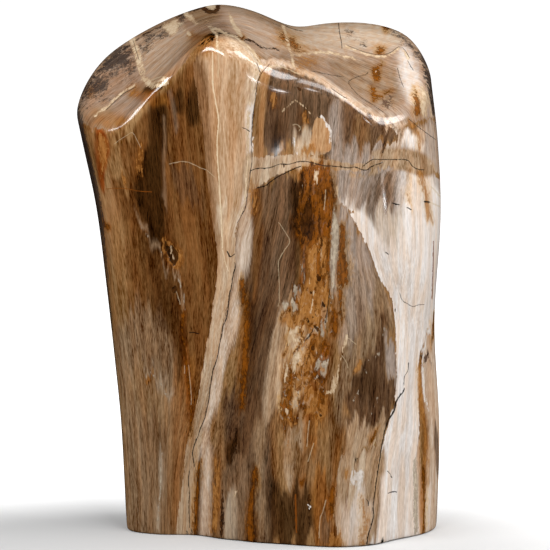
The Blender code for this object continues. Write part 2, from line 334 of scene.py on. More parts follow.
FRONT_GROUNDS = shapes(Tone, """
OAK 2: 55,95 450,95 450,560 55,560
# left of the pillar: brown wood, darkest under the lobe, greyer below
WARM_BROWN 3: 70,118 100,134 128,129 160,98 196,60 200,110 206,160 212,205 219,250 215,300 210,350
  203,392 193,429 185,463 181,494 180,540 120,540 119,410 108,336 98,250 86,200 78,150
OAK 4 0.8: 86,132 112,138 124,150 128,188 106,189 98,186 90,160
HONEY 4 0.5: 90,176 108,186 116,210 118,240 118,290 124,360 130,420 134,480 136,540 124,540 112,336
  100,250
OAK 4 0.9: 112,225 120,226 128,260 129,330 134,400 140,480 140,540 120,540 108,336
DRIFTWOOD 9 0.9: 113,340 140,300 165,330 180,385 187,430 183,470 182,540 125,540 124,440 118,380
OAK 5 0.4: 128,370 150,372 166,400 172,440 174,536 150,536 146,450 134,400
GREY_OAK 5 0.6: 142,424 156,416 168,440 172,500 170,540 146,540 144,470
AMBER 3 0.9: 96,134 103,137 108,148 108,172 102,178 98,160
DEEP_BROWN 3: 149,104 165,98 168,140 166,178 165,240 164,264 152,246 142,215 136,190 141,165
  148,150
DEEP_BROWN 6 0.3: 124,192 150,192 168,204 170,250 166,262 150,240 136,224 124,214
DEEP_BROWN 5 0.45: 140,240 152,244 160,262 170,290 172,330 160,330 150,290
DEEP_BROWN 3 0.95: 186,106 190,92 194,78 198,90 199,112 197,124 189,121
DEEP_BROWN 3 0.8: 173,98 180,88 184,96 183,112 175,112
RUST 3 0.6: 150,98 160,94 172,92 170,104 152,106
SMOKY 4 0.6: 170,165 187,168 200,190 202,208 190,208 176,194
RUST 5 0.55: 176,362 194,366 196,400 190,434 182,470 180,530 170,530 172,440
DEEP_BROWN 6 0.45: 168,268 180,290 186,330 184,372 176,372 172,320
# pale streaks across the left face
SAND 2.5 x3 0.75: 136,219 142,229 150,239 157,248 164,259 171,266
SAND 2.2 x2 0.75: 171,266 177,276 181,283 184,294 184,308
PALE_GREY 3 x4 0.5: 146,368 155,377 162,387 167,396 173,405
PALE_GREY 2.5 x2.5 0.6: 162,450 160.5,470 161,486 158.5,505 158,526
PALE_GREY 2.5 x2.5 0.4: 169.6,90 172,100 176.8,125.7
TAN 1.5 x1.5 0.5: 164,119 164.5,150 164.5,180 164,215
HONEY 2 x2 0.5: 186,365 190,385 191,405 188,430
# the pillar and what runs down beside its crack
HONEY 2 0.9: 260,66 271,70 268,89 266,110 264,129 264,150 262,175 258,190 252,190 257,140 260,104
# the middle: grey-brown wood right of the main crack
SMOKY 2: 236,232 243,215 249,192 256,189 270,182 284,173 300,164 303,182 298,205 293,218 296,231
  297,250 297,292 292,312 284,330 278,362 276,414 276,440 272,500 270,545 196,545 195,494 198,460
  206,419 212,378 218,355 224,327 230,300 234,262
ROSE_CREAM 2.5: 252,190 252,215 250,250 247,268 243,282 240,300 238,325 235,341 226,372 218,405
  208,430 203,444 198,456 206,419 212,378 224,327 230,300 234,262 238,226 246,200
OAK 2.5 0.9: 244,300 249,302 246,340 240,372 228,402 220,424 208,440 216,408 226,372 236,341
  240,315
WARM_BROWN 3 0.8: 254,190 262,186 263,230 258,280 256,300 252,290 251,250 253,215
GREY_OAK 2 0.7: 264,186 272,182 274,240 272,262 268,250 265,220
SLATE 2.5: 272,182 290,172 293,200 289,222 291,250 286,262 292,286 296,292 290,306 284,312 274,300
  270,262 274,240
DEEP_BROWN 3 0.9: 293,170 303,166 305,184 300,205 295,214 291,200
DEEP_BROWN 3 0.75: 289,218 296,224 302,246 301,284 297,286 294,256
DEEP_BROWN 3 0.5: 250,300 262,302 268,318 262,344 260,380 256,426 246,424 246,390 250,350
SMOKY 3 0.9: 262,300 274,300 270,312 264,328 262,352 258,384 255,380 258,340
SAND 3 0.85: 276,322 284,312 292,308 300,320 306,326 306,350 300,356 292,360 284,364 280,380
  279,414 274,420 264,420 262,390 264,360 268,336
CREAM 2.5 0.8: 286,330 296,328 304,326 304,348 296,354 286,354
CREAM 2.5 0.8: 277,364 282,362 282,412 277,412
CREAM 2.5 0.8: 291,378 301,378 300,404 292,406
TEAK 3: 305,392 330,330 336,340 333,394 328,410 318,424 306,424
# foot of the middle
ROSE_CREAM 3 0.9: 203,440 212,440 213,532 202,545
TEAK 3 0.9: 212,430 226,418 226,545 212,545
SMOKY 4: 226,400 250,392 256,420 250,470 238,480 226,466
DEEP_BROWN 3 0.9: 225,436 238,430 238,468 228,470
GREY_OAK 3 0.9: 222,470 250,470 246,545 222,545
PALE_GREY 3 0.75: 225,506 235,504 236,540 225,545
DRIFTWOOD 3: 256,420 266,420 267,470 264,490 256,486 254,450
DRIFTWOOD 3 0.8: 256,486 266,486 268,545 256,545
SLATE 3: 266,440 275,444 277,480 274,498 268,494 264,470
TEAK 3: 274,412 340,400 340,545 306,545 300,500 276,490
OAK 3 0.6: 276,436 286,430 288,486 278,490
SAND 2.5 0.9: 288,418 305,416 304,444 296,456 293,474 287,474 285,446
RUST 5 0.6: 305,398 322,396 326,420 318,440 308,450
OAK 4 0.75: 318,422 337,418 342,440 336,474 322,478
DEEP_BROWN 5 0.85: 270,490 290,486 312,488 314,540 270,545
RUST 4 0.7: 314,480 334,478 336,500 332,545 314,545
GREY_OAK 2 0.8: 322,513 331,513 331,546 321,546
# the patch right of the pillar's top
SLATE 1.5: 270,76 276,66 284,66 296,72 308,77 319,82 330,90 345,101 358,110 372,116 386,123 399,130
  392,143 372,147 358,152 330,154 311,152 290,150 284,152 278,154 271,151 264,149 264,129 266,110
  268,89
SMOKY 3 0.8: 268,92 277,92 281,125 280,152 266,148 266,112
DEEP_BROWN 2 0.7: 273,124 281,122 284,148 278,152 272,148
SMOKY 3 0.6: 280,116 292,104 300,104 306,112 304,130 292,126 286,148 280,140
LAVENDER 3 0.9: 330,106 343,104 344,152 331,156 328,130
SMOKY 3 0.75: 341,102 358,112 358,153 344,153
OCHRE 3 0.3: 354,116 370,120 371,145 356,148
LAVENDER 3 0.8: 330,152 372,146 374,156 350,162 330,160
CREAM 2 0.8: 296,129 306,124 311,133 310,152 296,152
ROSE_CREAM 2: 256,62 268,58 284,58 300,63 322,72 345,86 365,101 386,113 408,122 402,130 386,123
  372,116 358,110 345,101 330,90 319,82 308,77 296,72 284,67 270,70
# under the right rim
SMOKY 2 0.75: 371,124 388,127 396,134 394,143 380,142 371,138
# right of the seam: lavender and grey, then the dark patch
LAVENDER 2: 330,156 356,156 372,156 384,156 400,160 402,205 380,210 372,222 364,224 352,206 340,198
  334,200
SLATE 3 0.85: 376,180 390,178 395,190 392,202 380,203
SLATE 3 0.6: 360,198 374,196 380,210 374,218 364,212
LAVENDER 2: 329,199 336,199 344,203 353,220 360,233 366,247 373,265 378,278 386,290 391,300 380,300
  360,292 344,290 334,300 328,290 329,260 331,230
DRIFTWOOD 5: 344,280 372,270 388,292 394,312 390,330 372,352 352,380 340,390 334,380 342,350
  346,330 338,300
LAVENDER 5 0.55: 338,236 352,236 368,262 376,292 362,330 345,345 336,330 334,300
SMOKY 2: 388,315 391,315 390,327 388,334 387,343 387,364 388,376 395.5,378 396,390 394,404 391,416
  388,422 381,423 375,426 370,427 355,426 348,437 346,420 350,410 347,404 345,393 346,387 352,380
  358,372 364,364 371,354 378,344 385.5,326
DRIFTWOOD 3 0.85: 346,328 354,350 342,384 334,396 330,420 332,436 346,434 346,420 344,400 346,386
  358,370 352,350
DEEP_BROWN 4 0.55: 352,378 368,366 380,372 378,392 364,404 352,400
LAVENDER 1.5: 388,338 393,336 396,345 396,370 392,376 389,374 387,355
# lower right
SAND 2: 346,430 356,424 370,426 386,421 383,440 381,455 360,456 346,452
TEAK 3: 330,396 346,436 346,452 338,500 330,500
RUST 3 0.6: 335,424 343,440 342,456 336,500 334,470
IVORY 2.5 0.85: 424,166 440,200 445,260 440,330 428,345 422,345 430,310 432,250 428,210
ROSE_CREAM 2: 422,340 441,330 441,545 428,545 426,500 427,430 424,400 422,370
IVORY 2 0.8: 426,490 431,490 431,530 426,530
SMOKY 2 0.8: 433,436 438,440 438,462 433,460
""")

# pale zones lie over the grounds with a frayed edge, and their details colour them softly
FRONT_PALE = shapes(Tone, """
TAN 2: 194,62 205,46 216,36 230,34 243,40 254,50 262,66 258,80 256,98 253,129 252,159 249,190
  243,215 236,228 235,262 232,286 228,305 222,327 218,355 213,370 209,399 204,419 198,435 193,450
  190,463 184,463 186,445 190,429 194,415 200,392 204,365 209,335 213,300 217,262 213,222 208,180
  203,140 198,100
SAND 1.5: 207,365 213,370 210,388 207,408 204,420 201,440 199,455 197,474 195,494 194,513 193,540
  178,540 178,513 181,494 183.5,478 185.8,463 188.6,445 193,429 197.5,415 202.9,392
ROSE_CREAM 2.5: 386,124 402,129 416,127 440,120 440,168 384,168 372,158 372,148 386,146 396,142
  398,134
IVORY 2.5: 336,194 346,206 358,218 367,233 374,247 381,265 386,278 394,290 398,300 410,300 410,176
  396,174 380,172 366,174 350,178 342,184
IVORY 1.5: 384,268 389,280 393,290 398,300 401,315 402,333 402,360 402,376 397,392 394.5,404
  391,418 388,425 384,440 381,455 378,474 375,490 374,510 371,525 368,550 397,550 412,545 420,540
  424,500 420,450 420,400 419,365 422,345 430,330 438,316 446,300 446,180 438,176 432,172 424,168
  421,146 412,138 405,146 401,166 401,205 390,230 380,250
SAND 2: 347,450 354,450 359,453 370,454 380,452 379,470 376,478 375,490 374,519 368,550 344,550
  340,536 335,519 336,503 337,486 340,470 343,457
# the crown's end grain, from the rim back
END_GRAIN 2.5: 60,112 84,124 98,132 114,130 126,121 140,109 155,95 168,82 180,68 190,55 199,43
  210,33 228,33 243,40 256,52 264,60 276,60 296,68 318,79 340,90 360,105 380,116 402,125 420,120
  436,116 450,100 450,-20 60,-20
""")

PALE_DETAILS = shapes(Tone, """
WARM_BROWN 5 0.72: 190,66 202,58 208,76 210,100 212,150 215,205 218,245 214,262 208,214 200,160
  194,110
CREAM 4 0.6: 214,220 222,214 240,213 240,240 235,262 230,300 222,330 216,366 208,399 200,400
  206,365 212,330 216,290 219,255
CREAM 2 0.9: 248,66 262,66 262,85 259,104 257,140 252,190 246,214 236,230 234,250 231,249 236,228
  242,212 245,140 247,113
IVORY 3 0.75: 247,110 257,112 256,150 252,190 244,214 236,228 234,240 236,226 242,208 246,170
CREAM 3 0.7: 226,36 244,42 256,56 262,66 252,70 244,60 232,48
LAVENDER 9: 326,150 402,150 403,176 399,202 386,212 374,218 362,214 346,202 334,190
SLATE 4 0.85: 376,176 390,174 395,188 392,204 380,208 374,196
SLATE 4 0.5: 358,196 374,194 380,208 374,216 364,210
PALE_GREY 6 0.5: 350,212 366,216 390,206 402,204 400,226 384,240 370,244
ROSE_CREAM 5 0.8: 340,498 374,498 372,520 368,550 342,550
IVORY 7 0.4: 346,494 368,498 368,540 346,544
CREAM 4 0.5: 348,458 366,460 368,478 356,494 346,486
LAVENDER 3 0.65: 430,84 438,96 446,126 448,184 434,182 424,168 426,140 428,106
HONEY 3 0.9: 418,445 425,445 426,480 424,520 418,520
ASH 6 0.8: 80,96 104,66 132,44 160,30 190,14 214,6 236,12 262,24 282,38 282,56 262,54 246,42 226,32
  208,32 196,46 178,66 158,88 136,106 112,124 90,118
PUTTY 6 0.95: 282,30 300,28 340,26 378,26 404,36 418,50 426,66 434,116 402,122 380,113 358,101
  336,86 310,72 290,62 284,50
PALE_GREY 6 0.8: 284,26 300,26 340,24 378,24 400,34 396,46 340,50 300,48 286,44
ROSE_CREAM 7 0.5: 286,30 340,28 380,32 398,46 380,54 340,56 298,54
DRIFTWOOD 7 0.7: 330,58 372,60 398,72 400,100 390,110 366,98 340,84
DRIFTWOOD 4 0.9: 186,16 202,2 218,2 218,18 200,24
OCHRE 5 0.6: 186,40 212,32 216,46 200,56 188,54
OAK 6 0.6: 88,112 110,104 140,86 168,76 182,66 176,82 150,104 126,124 104,130
RUST 5 0.45: 84,114 92,120 106,116 122,108 140,92 160,76 176,60 186,48 190,54 176,74 152,100
  128,121 112,130 96,132 86,124
ROSE_CREAM 6 0.6: 230,10 282,30 284,52 262,54 240,36 228,24
CREAM 5 0.3: 134,38 146,40 160,30 186,28 190,44 176,64 158,80 146,78 140,62
ROSE_CREAM 2 x6 0.9: 264,66 270.4,62.7 283.8,63.5 295.4,69.8 308.8,74.5 321.6,78.9 333.2,86.9
  345.7,95 358.2,104 367,111 378,115.5 390.4,121.5 402.9,126
IVORY 5 0.75: 400,50 408,50 416,66 422,90 421,104 411,104 405,94 400,76
LAVENDER 4 0.6: 110,98 142,94 146,100 134,112 116,114
DEEP_BROWN 2 0.85: 143,88 152,84 169,84 168,92 152,94 144,92
RUST 2 0.7: 136,94 150,90 164,91 160,99 142,102
OCHRE 3 0.8: 116,121 128,118 130,128 118,130
""")

# left face; its first row is a dark strip of painted shade and dark reflection along the
# silhouette, where the side turns away
# this row is a dark strip of painted shade and dark reflection along the right silhouette
FRONT_MINERALS = shapes(Mineral, """
# crown, left
CHARCOAL 9: 80,98 90,78 100,65 112,54 122,49 131,46 133,54 134,64 128,71 120,69 112,73 104,79
  104,88 98,94 90,98
CHARCOAL 4 0.85: 140,48 146,38 152,32 154,40 148,50
CHARCOAL 4 0.8: 158,36 164,27 170,27 168,34
CHARCOAL 4 0.8: 176,26 184,13 187,16 182,28
UMBER 1.2 x1.6: 78,110 84,96 92,80 104,66 118,54 134,42 150,31 168,23 184,14 200,8 214,3.5
CREAM 1.6 x6.5: 131.5,38 134,45 136.6,52 139.3,62.5 142.9,74 147.6,82 152,85
CREAM 1.2 x3: 152,84 158,81 163,79 168,82 162,85 156,85
CREAM 2.4: 162,26 168,21 175,18 178,22 177,32 172,34 166,30
CREAM 1.4 x5: 185.6,12.6 190.2,17.9 195.5,22.6
CREAM 1 x3: 182,23.2 185.7,28.6 190.2,35.7
RUST 2 x1.6 0.8: 190,36 200,35.5 214,35
OCHRE 5 0.4: 199,35 212,34 212,50 202,50
OCHRE 2: 130,88 136,88 136,96 130,95
OCHRE 2 0.9: 88,88 93,88 92,96 88,96
CREAM 1 x2.4: 136.6,84.8 125,91 117.9,96.4 112.5,101.8 104.5,109 94.6,117
# crown, middle
UMBER 1: 202,9 205,3 212,1.5 219.5,4 220,8.6 216,12.5 207,13
CREAM 1 1.3: 207,6.7 209,4.6 213.5,4.4 216,6.6 213.6,9 209,9
CREAM 0.9 1.2: 228.4,12.5 232,24 235.5,31.3 240,35.7 242.7,35.7 240,29.5 235.5,23.2 230.8,13.4
RUST 1.2: 239.5,36 242,34.5 244.5,37 242,39.5
CREAM 1 x2.6: 207.9,21.4 210.5,27.7 216.8,34.8 216.8,40 217.7,50
CREAM 1 x2.6: 211.4,26.8 219.5,30.4 225.7,33.9 234.6,35.7 240,40.2 247,45.5 251.6,50 256,57
  258.8,60.7
UMBER 1 x1.8: 245.4,39.3 253,41.3 261.2,47 266.8,48.2 279.3,50
RUST 3.5 0.6: 279,33 287,33 288,43 281,44
RUST 3.5 0.6: 289,38 296,38 299,48 306,52 297,53 291,50
CREAM 1 x2.6: 282.9,25.9 286.4,35.7 288.2,46.4 291.8,57 293.6,67.9
CREAM 1.4 x2.4: 293.6,55.4 306,53.6 330,52.7 345,56 357,60
OCHRE 6 0.3: 295,56 315,55 317,67 297,69
# crown, right
SMOKY 4 0.3: 346,29 355,30 355,37 347,37
CHARCOAL 3 0.4: 361,41 366,41 366,48 361,48
CREAM 0.9 x2.6: 346,46 352,49 365.4,53.8 372.5,55.5 379.6,56.4 386.8,55.5 393,52.9 396.6,49.3
  401,48.4 404.6,52 408.2,58.2
RUST 1.5: 383,25 389,27 387,32 384,31
RUST 2: 377,48 383,48 383,54 377,54
RUST 1.2 x2.4: 383.2,61.8 379.6,67 376,68
RUST 1.2: 372,74 373.5,68.5 377,67 380.5,71 380.5,77 377,81 373.5,79.5
CREAM 0.8 1.4: 375.6,72 376.8,71 377.3,75 376.4,77.5
RUST 1.5 x4.5: 373,88 374,93 373.4,99
SMOKY 4 0.3: 381,100 385,94 391,93 395,99 394,107 387,109 382,105
RUST 1.2 x2: 380,98 385,92 391,91.5
RUST 2 0.8: 413,86 417,88 420,98 420,112 416,114 413.5,100
CREAM 2: 421,88 425,90 427,114 422,114
CHARCOAL 2.4: 420,56 424,52 430,67 434,82 437,99 439,116 435,116 431,102 427,90 424,74
UMBER 1.4 x2: 421,60 425,70 428,84 431,98 434,114
UMBER 1.4 x1.8: 428,66 431,80 434,96 437,116 439,140
CREAM 1.2 x1 0.9: 426,86 429,100 432,118 434,134
CHARCOAL 3 0.7: 385,26 398,32 410,41 420,52 425,60 421,62 412,50 400,39 388,31
# left face
CHARCOAL 2 0.8: 70,100 79,108 84,128 90,152 96,178 101,205 104,228 106,250 109,290 112,320 108,330
  60,330
OCHRE 1.6 1.1: 97.3,138 100,137 104,140 107,148 107.5,162 105,172 102,174.5 100,168 98.5,155
OCHRE 1.5 x2: 124,172 124,184
OCHRE 3 0.8: 137,150 142,150 142,175 138,175
RUST 1.4 x2.2: 180.4,305 184,314 183,323 182,332 184,352 187,373 190,396 191,414 190.4,434
  187.7,442.7
RUST 1.4: 104,222 108,222 108,227 104,227
OCHRE 1.4: 145.5,376 151,376 151,381 146,381
# the pillar
CREAM 1.2 x2.2: 262,64 257,72 253,82 250.4,100 248,130 247,160 245,200 240,216
# beside the foot of the main crack
RUST 1.6 x3: 200.3,463 198.5,476 196.5,489.7 195,516.5 194.6,532
OCHRE 1.5: 214.5,461 217.5,462 219,478 217.5,488 214.5,486
OCHRE 1.8 x4.5: 215.6,487 215,505 213,528
UMBER 1 0.9: 220,494 223,494 223.4,532 220.2,532
UMBER 1 x1.6: 235.5,420 235.8,440 235.5,462
CREAM 0.8 x1: 234.6,503 236,499.6 239,498
# the patch right of the pillar's top
CREAM 0.8 x1.6: 281.4,112.8 286,108.2 292.8,102.8 296,100.6 302,104.4 306.6,109.7 310.4,113.6
UMBER 1: 297.4,87 300,86.6 301,89 299,90.4
OCHRE 2: 303,111 308,112 309,124 304,126
IVORY 1.2 0.7: 293,141 295,138 298,139 297,142 298.6,146 295,146.6
UMBER 0.9: 294.8,141 296.4,139.6 296,142.4 297,145 295.2,144.6
OCHRE 1.6 0.9: 303,145 312,145 313,151 304,152
IVORY 0.9 x2.2: 318.9,116.6 324.2,119.7 329.6,127.3 330.3,136.5 328,151.8
OCHRE 2 0.9: 270.5,93 276.8,93 276,106 271,106
# dark blebs on the band across
UMBER 0.8: 282,164 284.5,164 284.5,166.2 282,166.2
UMBER 0.8: 321.8,164.4 325,164.6 325,166.6 322,166.6
UMBER 0.8: 340.3,165.8 343.6,166 343.5,168 340.5,168
# head of the seam
RUST 2: 301.6,166 304.3,182 298,204.6 292.7,218 295.4,231.4 297,242 305,248 318,242 328,232
  334.6,211 335.5,198 332.9,182 329.3,166
OCHRE 2 0.75: 297,240 305,249 305.4,262 306,272 302.5,290 297,292 296,306 297,313 290,317 284,321
  281,330 298,328 318,327 327,312 329,296 330.2,279 328.4,267 328.4,249 330.2,236 318,232 305,234
UMBER 4 0.85: 300,216 306,208 311,200 315,206 316,220 316,232 311,239 304,238 299,230
UMBER 1.6 x2.6: 296,206 294,218 297,232 303,244
UMBER 1.4 x2 0.9: 318,204 320,220 318,238
UMBER 1.6 x2.2 0.9: 302,170 303.5,188 300,208 296,224
UMBER 1.4 x1.6 0.8: 309,172 311,190 308.6,208
UMBER 1.4 x1.6 0.8: 321,184 324,204 320,226 322,244
UMBER 1.4 x1.8 0.8: 331,172 333,190 333,206 328,224
CREAM 1.6 0.4: 313.5,168 318.6,168 318.6,183 314.5,183
RUST 2: 320,167 328,167 329,182 320,182
RUST 1.2 x2: 322,219 327.5,229.6 329.3,236 327.5,249.3 327.5,269
RUST 1.2 x2: 306,249.3 305.2,262.7 306,271.6 302.5,289.5
CHALK 1.6 0.6: 302.5,245 306,246 305,285 302,285
CHALK 1.2: 294.5,287 300.7,287 300,300 295,300
CHALK 1.5 0.9: 316.8,230 321,229 324,234 320,239 317,237
RUST 1.4: 317,252 320.5,253 321,265 322,276 319,289 317,280
CHALK 2.5 0.85: 331,212 337,214 340,240 338,262 334,290 331,298 330,260
RUST 2.2: 340,228 345.4,228 346,256 349,262 348,284 342,288 337.5,283 338,262
OCHRE 2 0.9: 251.6,189 258,188.6 257,214 251.6,213
# the seam lower
RUST 1.8: 240,284 244,283 246,292 244,302 240.5,301
RUST 2.2 0.95: 244,300 249,302 250,330 248,344 248,362 246,382 244,404 241,404 241,380 243,350
  244,322
CHALK 1.6: 282,308 288,307 289,315 283,316
CHALK 1.6: 292,302 297,302 298,311 293,312
RUST 1 x1.8: 296.4,291.7 295.5,299 299.7,306.6 296.4,312.4 292.2,315.7 288,314 283,319 279.8,323
  280.6,328
CHALK 1.6: 319.6,302 326,302 327,318 325,335 320,335 320,318
RUST 1.8: 331,311.6 335.3,313 337.8,320.7 336,329.8 332,335.6 331,327 329.5,319
RUST 2 x4: 340.5,290 340,304 340,317
UMBER 0.9 x2.6: 307,336.4 310.4,334.8 313,330.6 317,330.6 318,333
CHALK 1.4: 312,333 318,333 318,338 312,338
OCHRE 2.4: 306,338 320.4,338 320,353 307,353
RUST 2: 321,343 328.7,343 328.7,356 322,356
UMBER 1 x2.2: 313.8,351.4 309.6,356.3 307,361.3 304.7,366.3
CHALK 1.4: 323,355.5 328.7,353 328.7,360.5 325.4,374.6 314.6,376 315.4,364.6 318.8,358.8
RUST 1.6: 313,375 326.5,374 326,380 313.5,380.5
OCHRE 3: 304,358 314,356 313,376 313,392 326,394 326,420 305,420 303,400 303,380
RUST 1.3 x2.6: 296.4,358.8 301.3,358.8 301.3,364.6 294.7,369.6 289.7,373 288,377 292.2,375.4
RUST 1.4 x2.6: 303.8,384.5 298,391 298,396 299.7,402 300.5,407.7 305.5,410 303.8,420
RUST 2: 285.6,384 290,383 290.6,393.6 286,393
RUST 2.4: 281.4,396 286,392.6 288.5,400 288,409 283,412 281,406
CREAM 1.2 1.2: 285,402.4 287.6,403 287,406.5 285.4,406.5
CREAM 1.4 x2.4: 347.4,337.5 342.4,351.4 338.5,367 334.3,379 332,390.5 327,396
# inside the dark patch
CHALK 1.4 x1.8 0.8: 386.4,334 383.9,343.9 380.6,352.2 375.6,358.8
OCHRE 1.6 x2.2 0.9: 360.7,358.8 356.5,368 351.5,375.4
CHALK 1.2 x1.4 0.8: 369.8,362 365.6,370.4 367.3,377
CHALK 1.2 x1.4 0.7: 360.7,392.8 354,406
CHALK 1.2 x1.4 0.7: 378,394.5 374,404 369.8,416
# right strip
IVORY 0.9 x1.8: 432.8,310.7 429.5,331.5 425.3,343 422,350.5 422.4,358.8 422.4,373 423.7,385.4
  425.3,399.5 428.6,410
OCHRE 1.4 x3: 419.5,363 419.5,381 420.4,397.8 423.7,420 426.2,451.5 424.6,473
RUST 1.4 x3.4: 424,473 424,486 424.4,499 424,530
RUST 1.6 x3.2: 433.4,317 433.6,330 433,341
SMOKY 1.6: 421,356 430,357 430,362 421,362
OCHRE 1.8 x4: 420.3,175 422.8,186.6 426,199 427.8,211.5 430.3,221.4
OCHRE 1.4 x2.4: 409.6,121.2 414.2,128.9 418.8,136.5 418.8,150.3
OCHRE 1.6 x1.4 0.8: 408,170 408.6,182 408,195 410.4,207
CHALK 1.8 x4 0.9: 415,453 415.4,490 415.4,532
# lower centre
RUST 1.6 1.05: 255.7,470.6 252.4,478 251.6,490.5 249,498.8 247.4,511 246.6,522 247.4,545 254,545
  255,521 254,507 255,494.6 257.4,484.7 257.8,474
UMBER 1.6 x2.2 0.9: 309,498 309.6,514 309.4,532
IVORY 0.7 x1.2: 308.5,506 310.5,508.7 309,511
RUST 1.6: 330,489 334.5,489 334,514 331,512
RUST 1.4: 300.6,477 304.6,477 304.6,481 300.6,481
# lower right
RUST 1.4: 369.8,439 378,430.8 374,443 370.7,444
OCHRE 1.5 0.9: 345.6,466 349,466 349,473 345.8,473
OCHRE 2.4 0.4: 360,500 364,499 369,512 368,530 364,544 358,544 362,520
OCHRE 2.2 0.9: 330,534 338,533 346,545 344,550 330,550
""")

# small marks that keep their drawn shape
FRONT_SPOTS = shapes(Mineral, """
OCHRE 2 0.8: 163,236 169,240 174,243 179,250 182,260 178,268 173,268 168,262 164,252
UMBER 1.2: 166,241 169,247 172,245 175,249 178,254 177,262 174,266 170,261 167,254 165,247
CREAM 0.6 x1 1.3: 170.5,245.5 171,250 170.5,254.5
UMBER 1.2 0.9: 172,287 176,287 176,292 172,292
# in the seam: rusty borders, dark specks and pale stone between
RUST 1.2 x2.2 1.1: 304,243 303.4,256 304.6,268 302,280 298,289
RUST 1.2 x2: 328,236 329,250 328,266 329.5,280 328,292
UMBER 1 1.1: 317,275 320,276 320.5,281 317.5,282
UMBER 1: 322,302 325,302 325,307 322.4,307
UMBER 1 0.9: 314,262 316,262 316,266 314,266
CREAM 1.4 x1.6 0.7: 310,250 311,266 309.5,284
CREAM 1.4 x1.4 0.6: 322,248 321,262 323,270
CREAM 1.6 x2.2 0.7: 313,292 312,306 309,318
CREAM 3.4 0.5: 285,334 291,326 301,324 298,334 301,342 291,346 287,352
CREAM 3.2 0.5: 293,356 301,348 303,358 297,366 299,374 292,372
CREAM 3 0.4: 283,362 287,354 291,368 287,388 282,380
RUST 1.2 x2.4: 304,322 300,330 303,338 299,348 293,353
RUST 1.2 x2 0.9: 290,330 286,338 288,348 284,356
RUST 1.2 x2.4: 316,340 312,352 318,362 314,374 308,384
CREAM 0.8 x1.2 0.9: 171,252 172,257 174,260
IVORY 4 0.7: 356,468 364,472 364,482 359,490 353,486 348,482 350,475
CHALK 2.4 x1.6 0.4: 136,217 141,227 150,238.4 157,247.3 163,254
CHALK 1.8 x1.6 0.55: 174,268 178,278 181,286 184,296 185,310
CHALK 2.4 x2.6 0.5: 147,368 155,377 162,387 168,397
CHALK 1.6 x1.6 0.7: 162,452 160.5,470 161,486 158.5,505 158,526
""")

# pale zones whose edge doesn't fray: the bulb in the patch, the band across the prow, and the
# rim of the white zone
SMOOTH_PALE = shapes(Tone, """
HONEY 1.5: 313,124 318,117 324,120 329,127 331,137 330,152 311,155 310,143
TAN 4 0.3: 316,126 321,122 326,130 325,146 319,148
SAND 2: 250,160 262,157 284,155 300,154 316,157 332,160 345,163 358,164 368,161 380,155 396,154
  412,155 424,161 430,170 420,170 408,166 396,164 382,165 372,169 360,171 340,170 320,168 302,166
  290,170 276,176 262,184 254,190 248,184
CREAM 2.5 0.4: 252,166 264,162 284,160 300,159 310,161 300,163 286,165 270,171 258,180 252,182
IVORY 1.5: 351,214 354,220 361,233 368,247 375,265 380,278 387,290 391.5,300 394,315 396,333
  396,360 396,385 395,400 402,404 408,385 408,333 406,310 402,296 392,278 386,262 378,244 370,230
  362,218
""")

# where minerals run through one another too finely to draw: how strongly, in soft shapes
SEAM_ZONES = shapes(Tone, """
RUST 4: 302,168 331,168 334,200 330,226 328,246 306,250 296,226
RUST 4 0.9: 306,246 330,244 329,262 333,300 338,316 334,336 328,352 327,376 326,420 300,424 278,414
  282,384 282,360 294,340 282,330 284,318 298,306 304,286
RUST 5 0.5: 278,410 326,410 322,450 300,462 286,452
RUST 4 0.6: 240,284 250,300 250,350 247,400 240,404 241,340
""")

